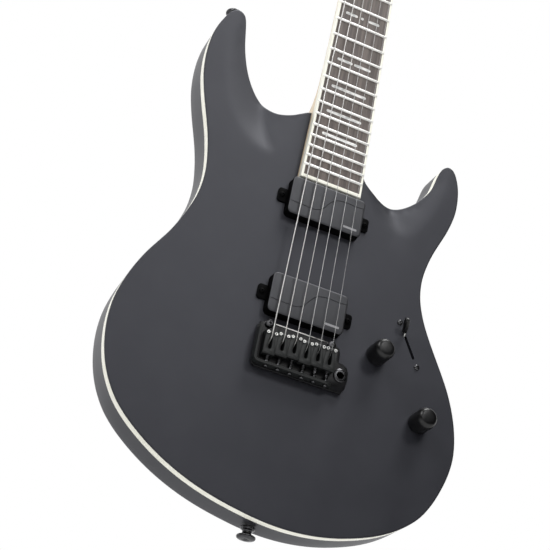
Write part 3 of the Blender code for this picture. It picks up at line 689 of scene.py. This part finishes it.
def body_cuts():
    """Groups of cutters; the solids of one group don't touch each other."""
    def recess(node_name, corner):
        return prism(box_outline(node_name, corner, 0.5), COVER_FRONT - GAP, BEYOND_BACK)

    def shaft(at, radius, y0, y1):
        return rod(radius, y0, y1, (at.x, 0, at.z), sides=32)

    half = [board_half(z) + GAP for z in (BOARD_END - 0.5, -400)]
    pocket = prism([(-half[0], BOARD_END - 0.5), (half[0], BOARD_END - 0.5), (half[1], -400),
                    (-half[1], -400)], 0.0, 26.3)
    cavity = near_plane_loop("control_cover", BODY_BACK)
    front = [pocket]
    for name in ("pickup_neck", "pickup_bridge"):
        at = centre(name)
        front.append(prism(rounded_rect(at.x, at.z, 69.5, 37.5, 4.5), 0.0, 24.0))
    block_low, block_high = box("sustain_block")
    front.append(block((block_low.x - 2, 0, block_low.z - 12), (block_high.x + 2, 29, -646.5)))
    front += [shaft(centre(n), 4.9, 0, 31) for n in ("pivot_post_bass", "pivot_post_treble")]
    front += [shaft(centre(n), 4.9, 0, 20) for n in ("volume_knob", "tone_knob")]
    slot_at = centre("switch_body")
    front.append(prism(turned_rect(slot_at.x, slot_at.z, 27.0, 2.5, switch_direction(), 1.2),
                       0.0, 20.0))
    low, high = box("battery")
    front.append(block((low.x - 1.7, low.y - 1, low.z - 2),
                       (high.x + 1.8, BEYOND_BACK, high.z + 1.5)))
    seat, outward = jack_seat()
    front.append(rod(6.4, -29.0, 9.0, seat, outward))
    back = [prism([(-42, -690), (42, -690), (42, -646), (29, -646), (29, -551), (-29, -551),
                   (-29, -646), (-42, -646)], 28.0, BEYOND_BACK),
            prism(inset(cavity, 4.0), 16.0, BEYOND_BACK),
            recess("battery_lid", 0.0)]
    arm = centre("arm_socket")
    back.append(rod(8.0, 0.0, 18.5, (arm.x, 0, arm.z - 1)))
    covers = [recess("spring_cover", COVER_CORNER),
              prism(inset(cavity, -0.6), COVER_FRONT - GAP, BEYOND_BACK)]
    return [front, back, covers]


def make_binding(outline, drop):
    """Cream strip let into the rim just under the top, open where the neck joins."""
    inner = inset(outline, BINDING_WIDTH - 0.02)

    def open_here(p):
        return p.y > BOARD_END and abs(p.x) < board_half(p.y) + 1.0
    keep = [i for i in range(len(outline)) if not open_here(outline[i])]
    start = next(k for k, i in enumerate(keep) if (i - 1) % len(outline) not in set(keep))
    keep = keep[start:] + keep[:start]
    normals = inward_normals(outline)
    rings = []
    for i in keep:
        p, q, n, d = outline[i], inner[i], normals[i], drop[i]
        soft = p + n * 0.18
        rings.append([Vector((a.x, y + d, a.y)) for a, y in (
            (soft, BINDING_FRONT), (p, BINDING_FRONT + 0.2), (p, BINDING_BACK - 0.2),
            (soft, BINDING_BACK), (q, BINDING_BACK), (q, BINDING_FRONT))])
    add("binding_strip", loft(rings), "cream", replaces=["body_binding"], smooth=50)


def switch_direction():
    """The way the lever's slot runs: across the lever's axis, in the face plane."""
    axis = Vector(joint("selector_throw")["axis"])
    return Vector((-axis.z, 0.0, axis.x)).normalized() * -1


def jack_seat():
    """Centre of the jack's flange on the rim, and the outward direction."""
    face, axis = mount("jack_face")
    outward = axis.normalized()
    flange = 2.0
    middle_y = centre("output_jack").y
    return Vector((face.x, middle_y, face.z)) - outward * flange, outward


# ---------------------------------------------------------------- neck, board, nut

def make_neck():
    stations = [  # z, depth of the back, squareness of the section
        (-499.2, 26.0, 24.0), (-430.0, 26.0, 24.0), (-418.0, 25.0, 6.0), (-405.0, 23.5, 2.7),
        (-390.0, 22.8, 2.0), (-300.0, 22.3, 1.95), (-200.0, 21.7, 1.95), (-100.0, 21.0, 1.95),
        (-30.0, 20.6, 2.1), (-8.0, 20.8, 2.5), (8.0, 21.0, 4.0), (20.0, 21.0, 6.0),
    ]
    top_y = BOARD_BOTTOM + GAP
    fine = smooth_open([Vector((a, b, c)) for a, b, c in stations], 4)
    rings = []
    for z, back, power in fine:
        half = board_half(z) if z < -1 else NUT_HALF
        top = top_y if z <= 8 else top_y + (z - 8) / 12 * 3.05
        ring_points = []
        for k in range(33):
            a = math.pi * k / 32
            c, s = math.cos(a), math.sin(a)
            ring_points.append(Vector((-half * bulged(c, 2 / power),
                                       top + (min(back, 26.0) - top) * abs(s) ** (2 / power), z)))
        rings.append(ring_points)
    head = smooth_closed(near_plane_loop("neck", HEAD_BACK), 4)
    soft = [(inset(head, 1.2), HEAD_FRONT), (inset(head, 0.35), HEAD_FRONT + 0.35),
            (head, HEAD_FRONT + 1.2), (head, HEAD_BACK - 1.2),
            (inset(head, 0.35), HEAD_BACK - 0.35), (inset(head, 1.2), HEAD_BACK)]
    holes = [rod(5.1, HEAD_FRONT - 4, HEAD_BACK + 4, post_at(s), sides=24) for s in STRINGS]
    bolts = [rod(2.9, 14.0, 30.0, at, sides=20) for at in neck_bolts(0.0)]
    add("neck_wood", loft(rings), "maple", replaces=["neck"],
        union=[stack(soft)], cut=[joined(holes + bolts)], smooth=38)
    veneer = inset(head, 1.3)
    seats = [rod(7.2, 4, 12, post_at(s), sides=24) for s in STRINGS]
    add("headstock_face", prism(veneer, HEAD_FRONT - 0.35, HEAD_FRONT + 0.3, 0.15), "lacquer",
        cut=[joined(seats + [block((-24, 4, 0), (24, 12, 15.5))])])
    cover = smooth_closed([(-9, 17.5), (9, 17.5), (8, 26), (4.5, 40), (0, 46), (-4.5, 40),
                           (-8, 26)], 5)
    add("truss_rod_cover", prism(cover, HEAD_FRONT - 1.9, HEAD_FRONT - 0.4, 0.5), "plastic")
    screws = [screw((x, HEAD_FRONT - 1.9, z), (0, -1, 0), 1.5)
              for x, z in ((-5.5, 21), (5.5, 21), (0, 41))]
    add("truss_rod_cover_screws", joined(screws), "bright_black")


def screw(at, out, radius):
    """Domed screw head standing on a surface, with a round recess."""
    dome = [(radius, -0.3)] + [(radius * r, radius * h) for r, h in (
        (1, 0.15), (0.82, 0.45), (0.45, 0.62), (0.28, 0.60), (0.20, 0.20))]
    return turned(dome, at, out, sides=20)


def neck_bolts(y):
    """Where the neck's four bolts stand at depth y."""
    return [(x, y, z) for x in (-14, 14) for z in (-453, -485)]


def make_fretboard():
    strip, end_strip = 2.0, 3.0
    sides = []
    for s in (-1, 1):
        sides.append([Vector((s * (board_half(z) - strip - 0.02), y, z))
                      for z, y in ((-GAP, BOARD_BOTTOM), (-GAP, BOARD_TOP),
                                   (BOARD_END + end_strip + 0.02, BOARD_TOP),
                                   (BOARD_END + end_strip + 0.02, BOARD_BOTTOM))])
    add("board_wood", loft(sides), "board", replaces=["fretboard"])

    edge = 0.25
    strips = []
    for s in (-1, 1):
        rings = []
        for z in (-GAP, BOARD_END):
            out, inn = s * board_half(z), s * (board_half(z) - strip)
            rings.append([Vector((x, y, z)) for x, y in (
                (inn, BOARD_TOP), (out - s * edge, BOARD_TOP), (out, BOARD_TOP + edge),
                (out, BOARD_BOTTOM), (inn, BOARD_BOTTOM))])
        strips.append(loft(rings))
    half = board_half(BOARD_END) - strip - 0.03
    strips.append(block((-half, BOARD_TOP, BOARD_END),
                        (half, BOARD_BOTTOM, BOARD_END + end_strip), 0.12))
    add("board_binding", joined(strips), "cream")

    frets = []
    for n in range(1, FRETS + 1):
        z, half = fret_z(n), board_half(fret_z(n)) - 0.25
        rings = []
        for x, drop, wide in ((-half, 0.80, 0.62), (-half + 0.5, 0.30, 0.9), (-half + 1.2, 0, 1),
                              (half - 1.2, 0, 1), (half - 0.5, 0.30, 0.9), (half, 0.80, 0.62)):
            rings.append([Vector((x, BOARD_TOP + 0.03 - (1.03 - drop) * math.sin(a) ** 0.8,
                                  z + 1.25 * wide * math.cos(a)))
                          for a in (math.pi * k / 8 for k in range(9))])
        frets.append(loft(rings))
    add("frets", joined(frets), "fret", smooth=60)

    bars = []
    for n in (3, 5, 7, 9, 12, 15, 17, 19, 21):
        z = (fret_z(n) + fret_z(n - 1)) / 2
        wide = 2.8
        spans = {12: ((-17.8, -5.6), (-2.4, 0.4), (5.6, 16.6)),
                 15: ((-17.2, -2.0), (-0.4, 16.2))}.get(n, ((-17.6, 16.6),))
        for x0, x1 in spans:
            corner = min(wide, x1 - x0) * 0.42
            bars.append(prism(rounded_rect((x0 + x1) / 2, z, x1 - x0, wide, corner, 3),
                              BOARD_TOP - 0.04, BOARD_TOP + 0.8))
    add("inlays", joined(bars), "pearl")


# ---------------------------------------------------------------- pickups

def make_pickup(name):
    at = centre(name)
    top = box(name)[0].y
    wide, long_side = 68.5, 36.5

    def level(shrink, y):
        return (rounded_rect(at.x, at.z, wide - 2 * shrink, long_side - 2 * shrink,
                             max(corner - shrink, 1.0)), y)
    edge, corner = 1.5, 4.0
    levels = [level(edge * (1 - math.sin(a)), top + edge * (1 - math.cos(a)))
              for a in (math.radians(d) for d in range(0, 91, 15))]
    levels += [level(0.0, 16.0), level(0.0, 22.0)]
    wave = smooth_open([(-33.9, -6.9), (-20, -7.4), (-9, -7.2), (-3.5, -4.0), (1.0, 2.5),
                        (6.5, 8.0), (15, 9.9), (25, 9.6), (33.9, 10.2)], 6)
    groove = tube([(at.x + p.x, top - 0.02, at.z + p.y) for p in wave], 0.42, 6)
    cover = add(name + "_cover", stack(levels), "cover", replaces=[name], cut=[groove], smooth=40)
    # the cover's sides and lower faces take a far darker, almost unreflecting copy of the same
    # plastic: painted shade; the top keeps the plain plastic
    cover.data.materials.append(MATERIALS["painted_shade_plastic"])
    for face in cover.data.polygons:
        if face.normal.y > -0.6 and face.center.y / MM > top + 0.45:
            face.material_index = 1
    bar_z = at.z - 13.0
    mark = prism(rounded_rect(at.x + 23.5, bar_z, 12.8, 2.0, 0.6, 3), top - 0.05, top + 0.4)
    add(name + "_mark", mark, "mark")

    ears, screws = [], []
    for s in (-1, 1):
        outer = rounded_rect(at.x + s * 36.5, at.z, 13.0, 13.5, 2.6)
        ears.append(prism(outer, top + 7.8, top + 9.2, 0.5))
        screws.append(screw((at.x + s * 39.2, top + 7.8, at.z), (0, -1, 0), 2.6))
        screws.append(rod(1.2, 0, 12, (at.x + s * 39.2, top + 8.0, at.z)))
    # ears and their screws take the same near-black copy of the plastic: painted shade under the
    # pickups
    add(name + "_ears", joined(ears), "painted_shade_plastic")
    add(name + "_screws", joined(screws), "painted_shade_plastic", slot="black_hardware")


# ---------------------------------------------------------------- vibrato

def make_vibrato():
    low, high = box("vibrato_baseplate")
    plate_front, plate_back = 5.6, high.y
    rim_top = low.y
    outline = [(-31, -639.5), (31, -639.5), (35.5, -642), (37, -646), (37, -654), (41, -654),
               (45.2, -656.5), (47, -661), (47, -668), (46, -675.5), (43, -680.4), (37, -680.4),
               (-33, -680.8), (-36.3, -679.6), (-37.4, -677), (-37.4, -646), (-36, -642)]
    arm = centre("arm_socket")
    posts = [centre(n) for n in ("pivot_post_bass", "pivot_post_treble")]
    cuts = [rod(3.9, 0.0, 20.0, (p.x, 0, p.z)) for p in posts]
    cuts.append(rod(5.0, 0.0, 20.0, (arm.x, 0, arm.z)))
    plate = prism(outline, plate_front, plate_back, 0.5)
    add("vibrato_plate", plate, "black_metal", body="vibrato", replaces=["vibrato_baseplate"],
        cut=[joined(cuts)])

    # the rim behind and beside the saddles; its treble end sweeps down to the plate
    back_z, thick = -679.2, 2.5
    steps = 10
    ends = [Vector((-36.4, -648.0)), Vector((-36.4, -672.6))]
    corner = [Vector((-33.0, -674.6)) + Vector((-3.4 * math.cos(a), -3.4 * math.sin(a)))
              for a in (math.radians(90 * k / 6) for k in range(1, 7))]
    run = ends + corner + [Vector((x, back_z + thick / 2)) for x in (-20, 0, 15, 25)]
    run += [Vector((27 + 6.5 * k / steps, back_z + thick / 2)) for k in range(steps + 1)]
    rings = []
    for i, p in enumerate(run):
        ahead = (run[min(i + 1, len(run) - 1)] - run[max(i - 1, 0)]).normalized()
        across = Vector((-ahead.y, ahead.x)) * (1.05 if i < 2 else thick / 2)
        fall = max(0.0, (p.x - 27) / 6.5)
        top = rim_top + (plate_front - rim_top) * (1 - math.sqrt(max(0.0, 1 - fall ** 2)))
        top = min(top, plate_front - 0.1)
        rings.append([Vector((q.x, y, q.y)) for q, y in (
            (p + across * 0.75, top), (p - across * 0.75, top), (p - across, top + 0.4),
            (p - across, plate_front + 0.3), (p + across, plate_front + 0.3),
            (p + across, top + 0.4))])
    add("vibrato_rim", loft(rings), "saddle", body="vibrato", smooth=50)

    add("arm_collar", ring([(3.1, 4.6), (3.5, 4.2), (5.2, 4.2), (5.9, 4.7), (5.9, 5.3),
                            (4.7, 5.3), (4.7, 16.5), (3.1, 16.5)], (arm.x, 0, arm.z)),
        "bright_black", body="vibrato", slot="steel", replaces=["arm_socket"], smooth=40)
    # thin bright steel strip on the plate's front edge: a painted highlight along the edge of the
    # black plate
    add("knife_edge_highlight", block((-22.5, plate_front - 0.5, -640.4), (24.5, plate_front - 0.1, -639.7),
                            0.1), "steel", body="vibrato")

    heads = []
    for string in STRINGS:
        p = break_point(string)
        make_saddle(string, p)
        heads.append(intonation_screw(p, back_z))
    add("intonation_screws", joined(heads), "bright_black", body="vibrato", slot="steel")

    for label, p in zip(("bass", "treble"), posts):
        low_y = 3.2
        hexagon = rod(1.45, -1, 1.6, (p.x, low_y, p.z), sides=6)
        profile = [(2.4, 0.0), (3.2, 0.25), (3.6, 0.8), (3.6, 1.7), (3.0, 2.1), (3.0, 6.7),
                   (4.5, 6.7), (4.5, 26.8)]
        add("post_" + label, turned(profile, (p.x, low_y, p.z)), "bright_black", slot="steel",
            replaces=["pivot_post_" + label], cut=[hexagon])


def make_saddle(string, p):
    """Steel block with a keyhole slot for the string and two height screws."""
    half = SADDLE_PITCH / 2 - 0.08
    top, bottom = p.y, 5.3
    front, rear = p.z + SADDLE_AHEAD, p.z - SADDLE_BEHIND
    side = [(front, bottom), (front, top + 3.0), (front - 1.0, top + 0.9), (front - 2.4, top),
            (rear + 1.0, top), (rear, top + 0.8), (rear, bottom)]
    rings = [[Vector((p.x + s * (half - c), y + (0.0 if y > top + 2 else c * 0.9), z))
              for z, y in side] for s, c in ((-1, 0.0), (1, 0.0))]
    keyhole = [Vector((p.x + x, p.z + z)) for x, z in (
        (-0.85, -1.2), (0.85, -1.2), (1.2, -5.5), (1.55, -7.5), (1.55, -12.4), (1.1, -13.6),
        (0, -14.1), (-1.1, -13.6), (-1.55, -12.4), (-1.55, -7.5), (-1.2, -5.5))]
    heads = [(p.x + x, top, p.z + 0.3) for x in (-3.45, 3.45)]
    sockets = [rod(1.5, -2, 1.2, at, sides=20) for at in heads]
    add("saddle_block_%d" % string, loft(rings), "saddle", body="vibrato",
        replaces=["saddle_%d" % string], cut=[prism(keyhole, top - 3, 12), joined(sockets)],
        bevel=(0.14, 2))
    screws = [ring([(0.62, -0.25), (0.75, -0.55), (1.25, -0.55), (1.42, -0.25), (1.42, 1.1),
                    (0.62, 1.1)], at, sides=24) for at in heads]
    add("height_screws_%d" % string, joined(screws), "screw", body="vibrato")


def intonation_screw(p, back_z):
    """Screw from behind the rim into the saddle, with the spring round it."""
    x, y = p.x + 0.9, 2.0
    rear = p.z - SADDLE_BEHIND
    head = turned([(1.0, 0.0), (1.9, 0.1), (1.9, 0.9), (1.4, 1.5), (0.5, 1.6)],
                  (x, y, back_z - 0.1), (0, 0, -1), sides=18)
    shank = rod(0.85, 0.0, rear - back_z, (x, y, back_z), (0, 0, 1), sides=12)
    coil = helix(x, y, back_z + 2.6, 1.5, rear - (back_z + 2.6), 5, 10)
    return joined([head, shank, tube(coil, 0.32, 6)])


def make_vibrato_springs():
    for label in ("bass", "middle", "treble"):
        name = "vibrato_spring_" + label
        low, high = box(name)
        at = centre(name)
        path = [(at.x, at.y, low.z), (at.x, at.y, low.z + 4)]
        path += helix(at.x, at.y, low.z + 7, (high.x - low.x) / 2 - 0.6, high.z - low.z - 14,
                      17, 12)
        path += [(at.x, at.y, high.z - 4), (at.x, at.y, high.z)]
        ob = add(name + "_coil", tube(path, 0.62, 8), "steel", replaces=[name],
                 ride=False, smooth=60)
        blend_from(ob)


def blend_from(ob):
    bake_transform(ob)


# ---------------------------------------------------------------- strings and tuners

def post_at(string):
    at = centre("tuner_post_%d" % string)
    return Vector((at.x, 0.0, at.z))


def make_strings():
    for string in STRINGS:
        r = STRING_RADII[string - 1]
        p = break_point(string)
        y = p.y - GAP - r
        n = Vector((string_x(string, NUT_SPREAD), -0.32 - r, 2.3))
        post = post_at(string)
        path = [p + Vector((0, 7.4, -9.6)), p + Vector((0, 4.0, -7.0)),
                p + Vector((0, 0.9, -4.0)), Vector((p.x, y + 0.25, p.z - 1.9)),
                Vector((p.x, y, p.z - 0.4)), Vector((p.x, y, p.z + 1.2)),
                Vector((p.x, y + 0.02, p.z + 4.0)), Vector((p.x, y + 0.04, -642.0))]
        far = Vector((n.x, n.y, 0.6))
        span = 24
        near = path[-1]
        path += [near.lerp(far, k / span) for k in range(1, span + 1)]
        path += [n + Vector((0, 0.05, 0.4)), n + Vector((0, 0.35, 2.4))]
        path += [Vector((n.x, 3.2, post.z - 2.0)), Vector((n.x, 3.3, post.z + 0.5))]
        finish_name = "wound_string" if string > 3 else "plain_string"
        ob = add("string_wire_%d" % string, tube(path, r, 12), finish_name,
                 replaces=["string_%d" % string], ride=False, smooth=60)
        blend_from(ob)

        turns, steps = 3, 20
        lean = 2.5 + r + 0.05
        wrap = []
        for k in range(turns * steps + 1):
            a = math.pi - 2 * math.pi * k / steps
            wrap.append((post.x - lean * math.cos(a), 3.3 - 2.1 * r * k / steps + r,
                         post.z + lean * math.sin(a)))
        tail = Vector((post.x, wrap[-1][1] - 0.2, post.z))
        wrap += [tail, tail + Vector((lean + 1.0, -0.2, 2.2))]
        add("string_wrap_%d" % string, tube(wrap, r, 8), finish_name,
            body="post_%d" % string, smooth=60)


def make_tuners():
    for s in STRINGS:
        out = Vector(joint("tuner_button_%d_turn" % s)["axis"]).normalized()
        along = Vector((out.z, 0, -out.x))
        worm = Vector(joint("tuner_button_%d_turn" % s)["pos_m"]) / MM
        post = post_at(s)
        half_u, half_v = 7.5, 9.6
        corners = [post + out * a + along * b for a, b in (
            (-half_u, -half_v), (half_u, -half_v), (half_u, half_v), (-half_u, half_v))]
        case = prism([(c.x, c.z) for c in corners], 21.5, 32.0)
        collar = turned([(3.6, 0.0), (3.6, 5.0), (2.9, 5.4)], worm + out * 4.2, out)
        bore = joined([rod(3.5, 10.0, 28.5, post), rod(2.4, 3.0, 12.0, worm, out)])
        add("tuner_case_%d" % s, case, "black_metal", replaces=["tuner_housing_%d" % s],
            union=[collar], cut=[bore], bevel=(1.3, 3), smooth=50)
        bushing = [ring([(3.5, 5.9), (4.9, 5.9), (5.6, 6.5), (7.0, 6.9), (7.0, 7.9), (3.5, 7.9)],
                        post)]
        bushing.append(ring([(3.5, 7.9), (4.7, 7.9), (4.7, 21.4), (3.5, 21.4)], post))
        add("tuner_bushing_%d" % s, joined(bushing), "black_metal")
        hole = rod(0.75, -6, 6, post + Vector((0, 0.4, 0)), (1, 0, 0), sides=14)
        add("tuner_post_shaft_%d" % s,
            turned([(1.9, -2.2), (2.7, -2.05), (3.1, -1.6), (3.1, -0.9), (2.5, 0.4), (2.5, 4.6),
                    (3.1, 5.6), (3.1, 28.0)], post), "black_metal", body="post_%d" % s,
            replaces=["tuner_post_%d" % s], cut=[hole])
        shaft = turned([(2.1, 4.6), (2.1, 14.6), (2.6, 15.0), (2.6, 17.0)], worm, out)
        rings = []
        for h, wide, thick in ((15.6, 2.8, 2.4), (16.2, 4.6, 3.3), (17.6, 6.9, 3.9),
                               (20.0, 8.6, 4.3), (22.8, 9.4, 4.4), (25.4, 8.7, 4.2),
                               (27.2, 7.0, 3.6), (28.2, 4.0, 2.4)):
            rings.append([worm + out * h + along * (wide * bulged(math.cos(a), 0.8))
                          + Vector((0, thick * bulged(math.sin(a), 0.7), 0))
                          for a in circle(36)])
        add("tuner_knob_%d" % s, loft(rings), "black_metal", body="button_%d" % s,
            replaces=["tuner_button_%d" % s], union=[shaft], smooth=45)


# ---------------------------------------------------------------- controls

def make_controls():
    for label in ("volume", "tone"):
        at = centre(label + "_knob")
        low, high = box(label + "_knob")
        radius = (high.x - low.x) / 2
        y = low.y
        profile = [(0.4, 0.0), (4.2, 0.02), (6.2, 0.25), (7.2, 0.8), (7.7, 1.5), (8.2, 2.3),
                   (8.75, 3.2), (radius, 5.0), (radius, 19.9), (radius - 0.35, 20.3), (3.6, 20.4),
                   (3.05, 20.4), (3.05, 31.0)]
        grub = rod(1.2, radius - 2.5, radius + 2, (at.x, y + 13.5, at.z), (0.5, 0, -0.86), 18)
        add(label + "_knob_cap", turned(profile, (at.x, y, at.z), sides=56), "knob", body=label,
            replaces=[label + "_knob"], cut=[grub], smooth=28)

    axis = Vector(joint("selector_throw")["axis"])
    d = switch_direction()
    hub = Vector(joint("selector_throw")["pos_m"]) / MM
    lean = math.radians(33)
    up = Matrix.Rotation(lean, 3, axis) @ Vector((0, -1, 0))
    if (hub + up * 35).z < hub.z:
        up = Matrix.Rotation(-lean, 3, axis) @ Vector((0, -1, 0))
    forward = axis.cross(up).normalized()
    stem, cap = [], []
    for h, along, across in ((-3.0, 2.0, 0.9), (21.4, 1.5, 0.9)):
        stem.append([hub + up * h + forward * (a * along) + axis * (b * across)
                     for a, b in ((-1, -1), (1, -1), (1, 1), (-1, 1))])
    for h, along, across in ((20.6, 1.9, 1.5), (21.4, 2.3, 1.9), (24.5, 2.6, 2.2),
                             (29.5, 2.9, 2.4), (33.2, 2.8, 2.2), (34.7, 2.2, 1.7),
                             (35.3, 1.0, 0.8)):
        cap.append([hub + up * h + forward * (along * math.cos(a)) + axis * (across * math.sin(a))
                    for a in circle(24)])
    add("selector_stem", loft(stem), "steel", body="selector", bevel=(0.25, 2),
        replaces=["switch_lever"])
    add("selector_cap", loft(cap), "knob", body="selector", slot="black_plastic", smooth=50)
    at = centre("switch_body")
    ends = [Vector((at.x, BODY_FRONT, at.z)) + d * s * 20.6 for s in (-1, 1)]
    add("selector_screws", joined([screw(p, (0, -1, 0), 2.6) for p in ends]), "bright_black")

    seat, outward = jack_seat()
    ferrule = ring([(3.35, 1.7), (3.7, 2.0), (8.6, 2.0), (9.9, 1.8), (10.8, 1.4), (11.1, 0.9),
                    (10.8, GAP), (5.9, GAP), (5.9, -26.0), (3.35, -26.0)], seat, outward, 48)
    nut_ring = ring([(3.6, 1.9), (3.6, 2.3), (3.9, 2.6), (5.6, 2.6), (6.0, 2.3), (6.0, 1.9)],
                    seat, outward, 6)
    add("jack_ferrule", ferrule, "black_metal", replaces=["output_jack"], smooth=30)
    add("jack_nut", nut_ring, "bright_black", bevel=(0.2, 2))


def make_strap_buttons():
    profile = [(5.4, 0.3), (5.9, 0.55), (6.0, 1.0), (6.0, 2.3), (5.6, 2.8), (4.6, 3.15),
               (3.9, 3.9), (3.7, 4.9), (3.9, 6.0), (4.9, 7.0), (6.9, 7.6), (7.6, 8.1),
               (7.8, 8.9), (7.5, 9.8), (6.6, 10.4), (5.0, 10.8), (3.1, 10.9), (2.9, 10.6),
               (1.4, 10.3), (0.9, 9.4)]
    for name in ("strap_button_tail", "strap_button_horn"):
        face, axis = mount(name)
        add(name + "_turned", turned(profile, face - axis * 11.0, axis, sides=40),
            "bright_black", replaces=[name], smooth=40)


# ---------------------------------------------------------------- back

def make_back():
    def plate(outline, y0, y1, edge):
        """Plate whose rounded rim is at the back."""
        return stack([(outline, y0), (outline, y1 - edge)]
                     + [(inset(outline, edge * (1 - math.cos(a))), y1 - edge * (1 - math.sin(a)))
                        for a in (math.radians(30), math.radians(60), math.radians(90))])

    back = BODY_BACK
    low, high = box("spring_cover")
    add("spring_cover_plate", plate(box_outline("spring_cover", COVER_CORNER), COVER_FRONT, back,
                                    0.4), "plastic", replaces=["spring_cover"])
    screws = [(x, z) for x in (low.x + 6, high.x - 6) for z in (low.z + 6, high.z - 6)]
    screws += [(0, low.z + 5.5), (0, high.z - 5.5)]
    control = near_plane_loop("control_cover", BODY_BACK)
    add("control_cover_plate", plate(control, COVER_FRONT, back, 0.4), "plastic",
        replaces=["control_cover"])
    inner = inset(control, 5.0)
    screws += [(p.x, p.y) for p in inner[::2]]
    add("cover_screws", joined([screw((x, back - 0.1, z), (0, 1, 0), 2.4) for x, z in screws]),
        "bright_black")

    low, high = box("battery_lid")
    lid = box_outline("battery_lid", 1.0)
    catch = prism(rounded_rect((low.x + high.x) / 2, low.z + 5.5, 14, 4.0, 1.8, 4), back - 0.6,
                  back + 3)
    add("battery_door_panel", plate(lid, COVER_FRONT, back, 0.4), "plastic", body="battery_door",
        replaces=["battery_lid"], cut=[catch])

    outline = rounded_rect(0, -469, 42, 46, 5)
    add("neck_plate_steel", plate(outline, back + GAP, back + 2.3, 0.7), "black_metal",
        replaces=["neck_plate"])
    bolts = [screw(at, (0, 1, 0), 4.5) for at in neck_bolts(back + 1.2)]
    add("neck_bolts", joined(bolts), "bright_black")

    low, high = box("battery")
    add("battery_cell", block(low, high, 1.6), "battery", replaces=["battery"])


KEPT_NODES = {
    "nut": "nut", "volume_pot": "zinc", "tone_pot": "zinc", "switch_body": "zinc",
    "sustain_block": "zinc", "spring_claw": "zinc",
}


def dress_kept_nodes():
    for name, finish_name in KEPT_NODES.items():
        ob = frame["nodes"][name]
        for slot in ob.material_slots:
            slot.material = MATERIALS[finish_name]


# ---------------------------------------------------------------- studio

CAMERA_AT = Vector((-0.3285, -0.9673, -1.1340))
CAMERA_AIM = Vector((-0.0335, 0.0, -0.6002))
CAMERA_ROLL = math.radians(11.767)
LENS = 91.13
SENSOR = 36.0


def area_light(name, at, aim, size, power):
    data = bpy.data.lights.new(name, "AREA")
    data.shape = "DISK"
    data.size = size
    data.energy = power
    ob = bpy.data.objects.new(name, data)
    bpy.context.scene.collection.objects.link(ob)
    ob.location = at
    ob.rotation_euler = (Vector(aim) - Vector(at)).to_track_quat("-Z", "Y").to_euler()
    return ob


def make_studio():
    scene = bpy.context.scene
    scene.view_settings.view_transform = "Standard"
    data = bpy.data.cameras.new("camera")
    data.lens = LENS
    data.sensor_width = SENSOR
    data.clip_start, data.clip_end = 0.05, 20.0
    camera = bpy.data.objects.new("camera", data)
    scene.collection.objects.link(camera)
    look = (CAMERA_AIM - CAMERA_AT).to_track_quat("-Z", "Y").to_matrix()
    turn = look @ Matrix.Rotation(CAMERA_ROLL, 3, "Z")
    camera.matrix_world = Matrix.Translation(CAMERA_AT) @ turn.to_4x4()
    scene.camera = camera

    # white surroundings; the half in front of the guitar is dimmer, as a studio's is
    world = bpy.data.worlds.new("studio")
    world.use_nodes = True
    scene.world = world
    tree = world.node_tree
    background = tree.nodes["Background"]
    background.inputs["Strength"].default_value = 1.0
    place = node(tree, "ShaderNodeTexCoord")
    axes = node(tree, "ShaderNodeSeparateXYZ")
    depth = node(tree, "ShaderNodeMapRange", From_Min=-0.1, From_Max=0.4, To_Min=0.0,
                 To_Max=1.25)
    direct = node(tree, "ShaderNodeLightPath")
    choose = node(tree, "ShaderNodeMix")
    choose.data_type = "FLOAT"
    choose.inputs[3].default_value = 1.0
    connect(tree, (place, "Generated", axes, "Vector"), (axes, "Y", depth, "Value"),
            (direct, "Is Camera Ray", choose, 0), (depth, "Result", choose, 2),
            (choose, 0, background, "Color"))

    middle = (0.0, 0.0, -0.55)
    area_light("top_softbox", (0.35, -0.8, 1.8), middle, 1.2, 55.0)
    area_light("left_softbox", (-1.4, -1.0, 0.6), middle, 1.2, 24.0)
    area_light("front_softbox", (-0.25, -1.6, -0.15), middle, 1.2, 4.6)
    area_light("centre_softbox", (0.44, -1.5, 0.32), middle, 0.5, 3.8)

    floor_mesh = bmesh.new()
    bmesh.ops.create_grid(floor_mesh, x_segments=8, y_segments=8, size=4000.0)
    bmesh.ops.translate(floor_mesh, verts=floor_mesh.verts, vec=(0, 0, -1500.0))
    floor = add("floor", floor_mesh, "floor", ride=False)


make_studio()
make_body()
make_neck()
make_fretboard()
for pickup in ("pickup_neck", "pickup_bridge"):
    make_pickup(pickup)
make_vibrato()
make_vibrato_springs()
make_strings()
make_tuners()
make_controls()
make_strap_buttons()
make_back()
dress_kept_nodes()
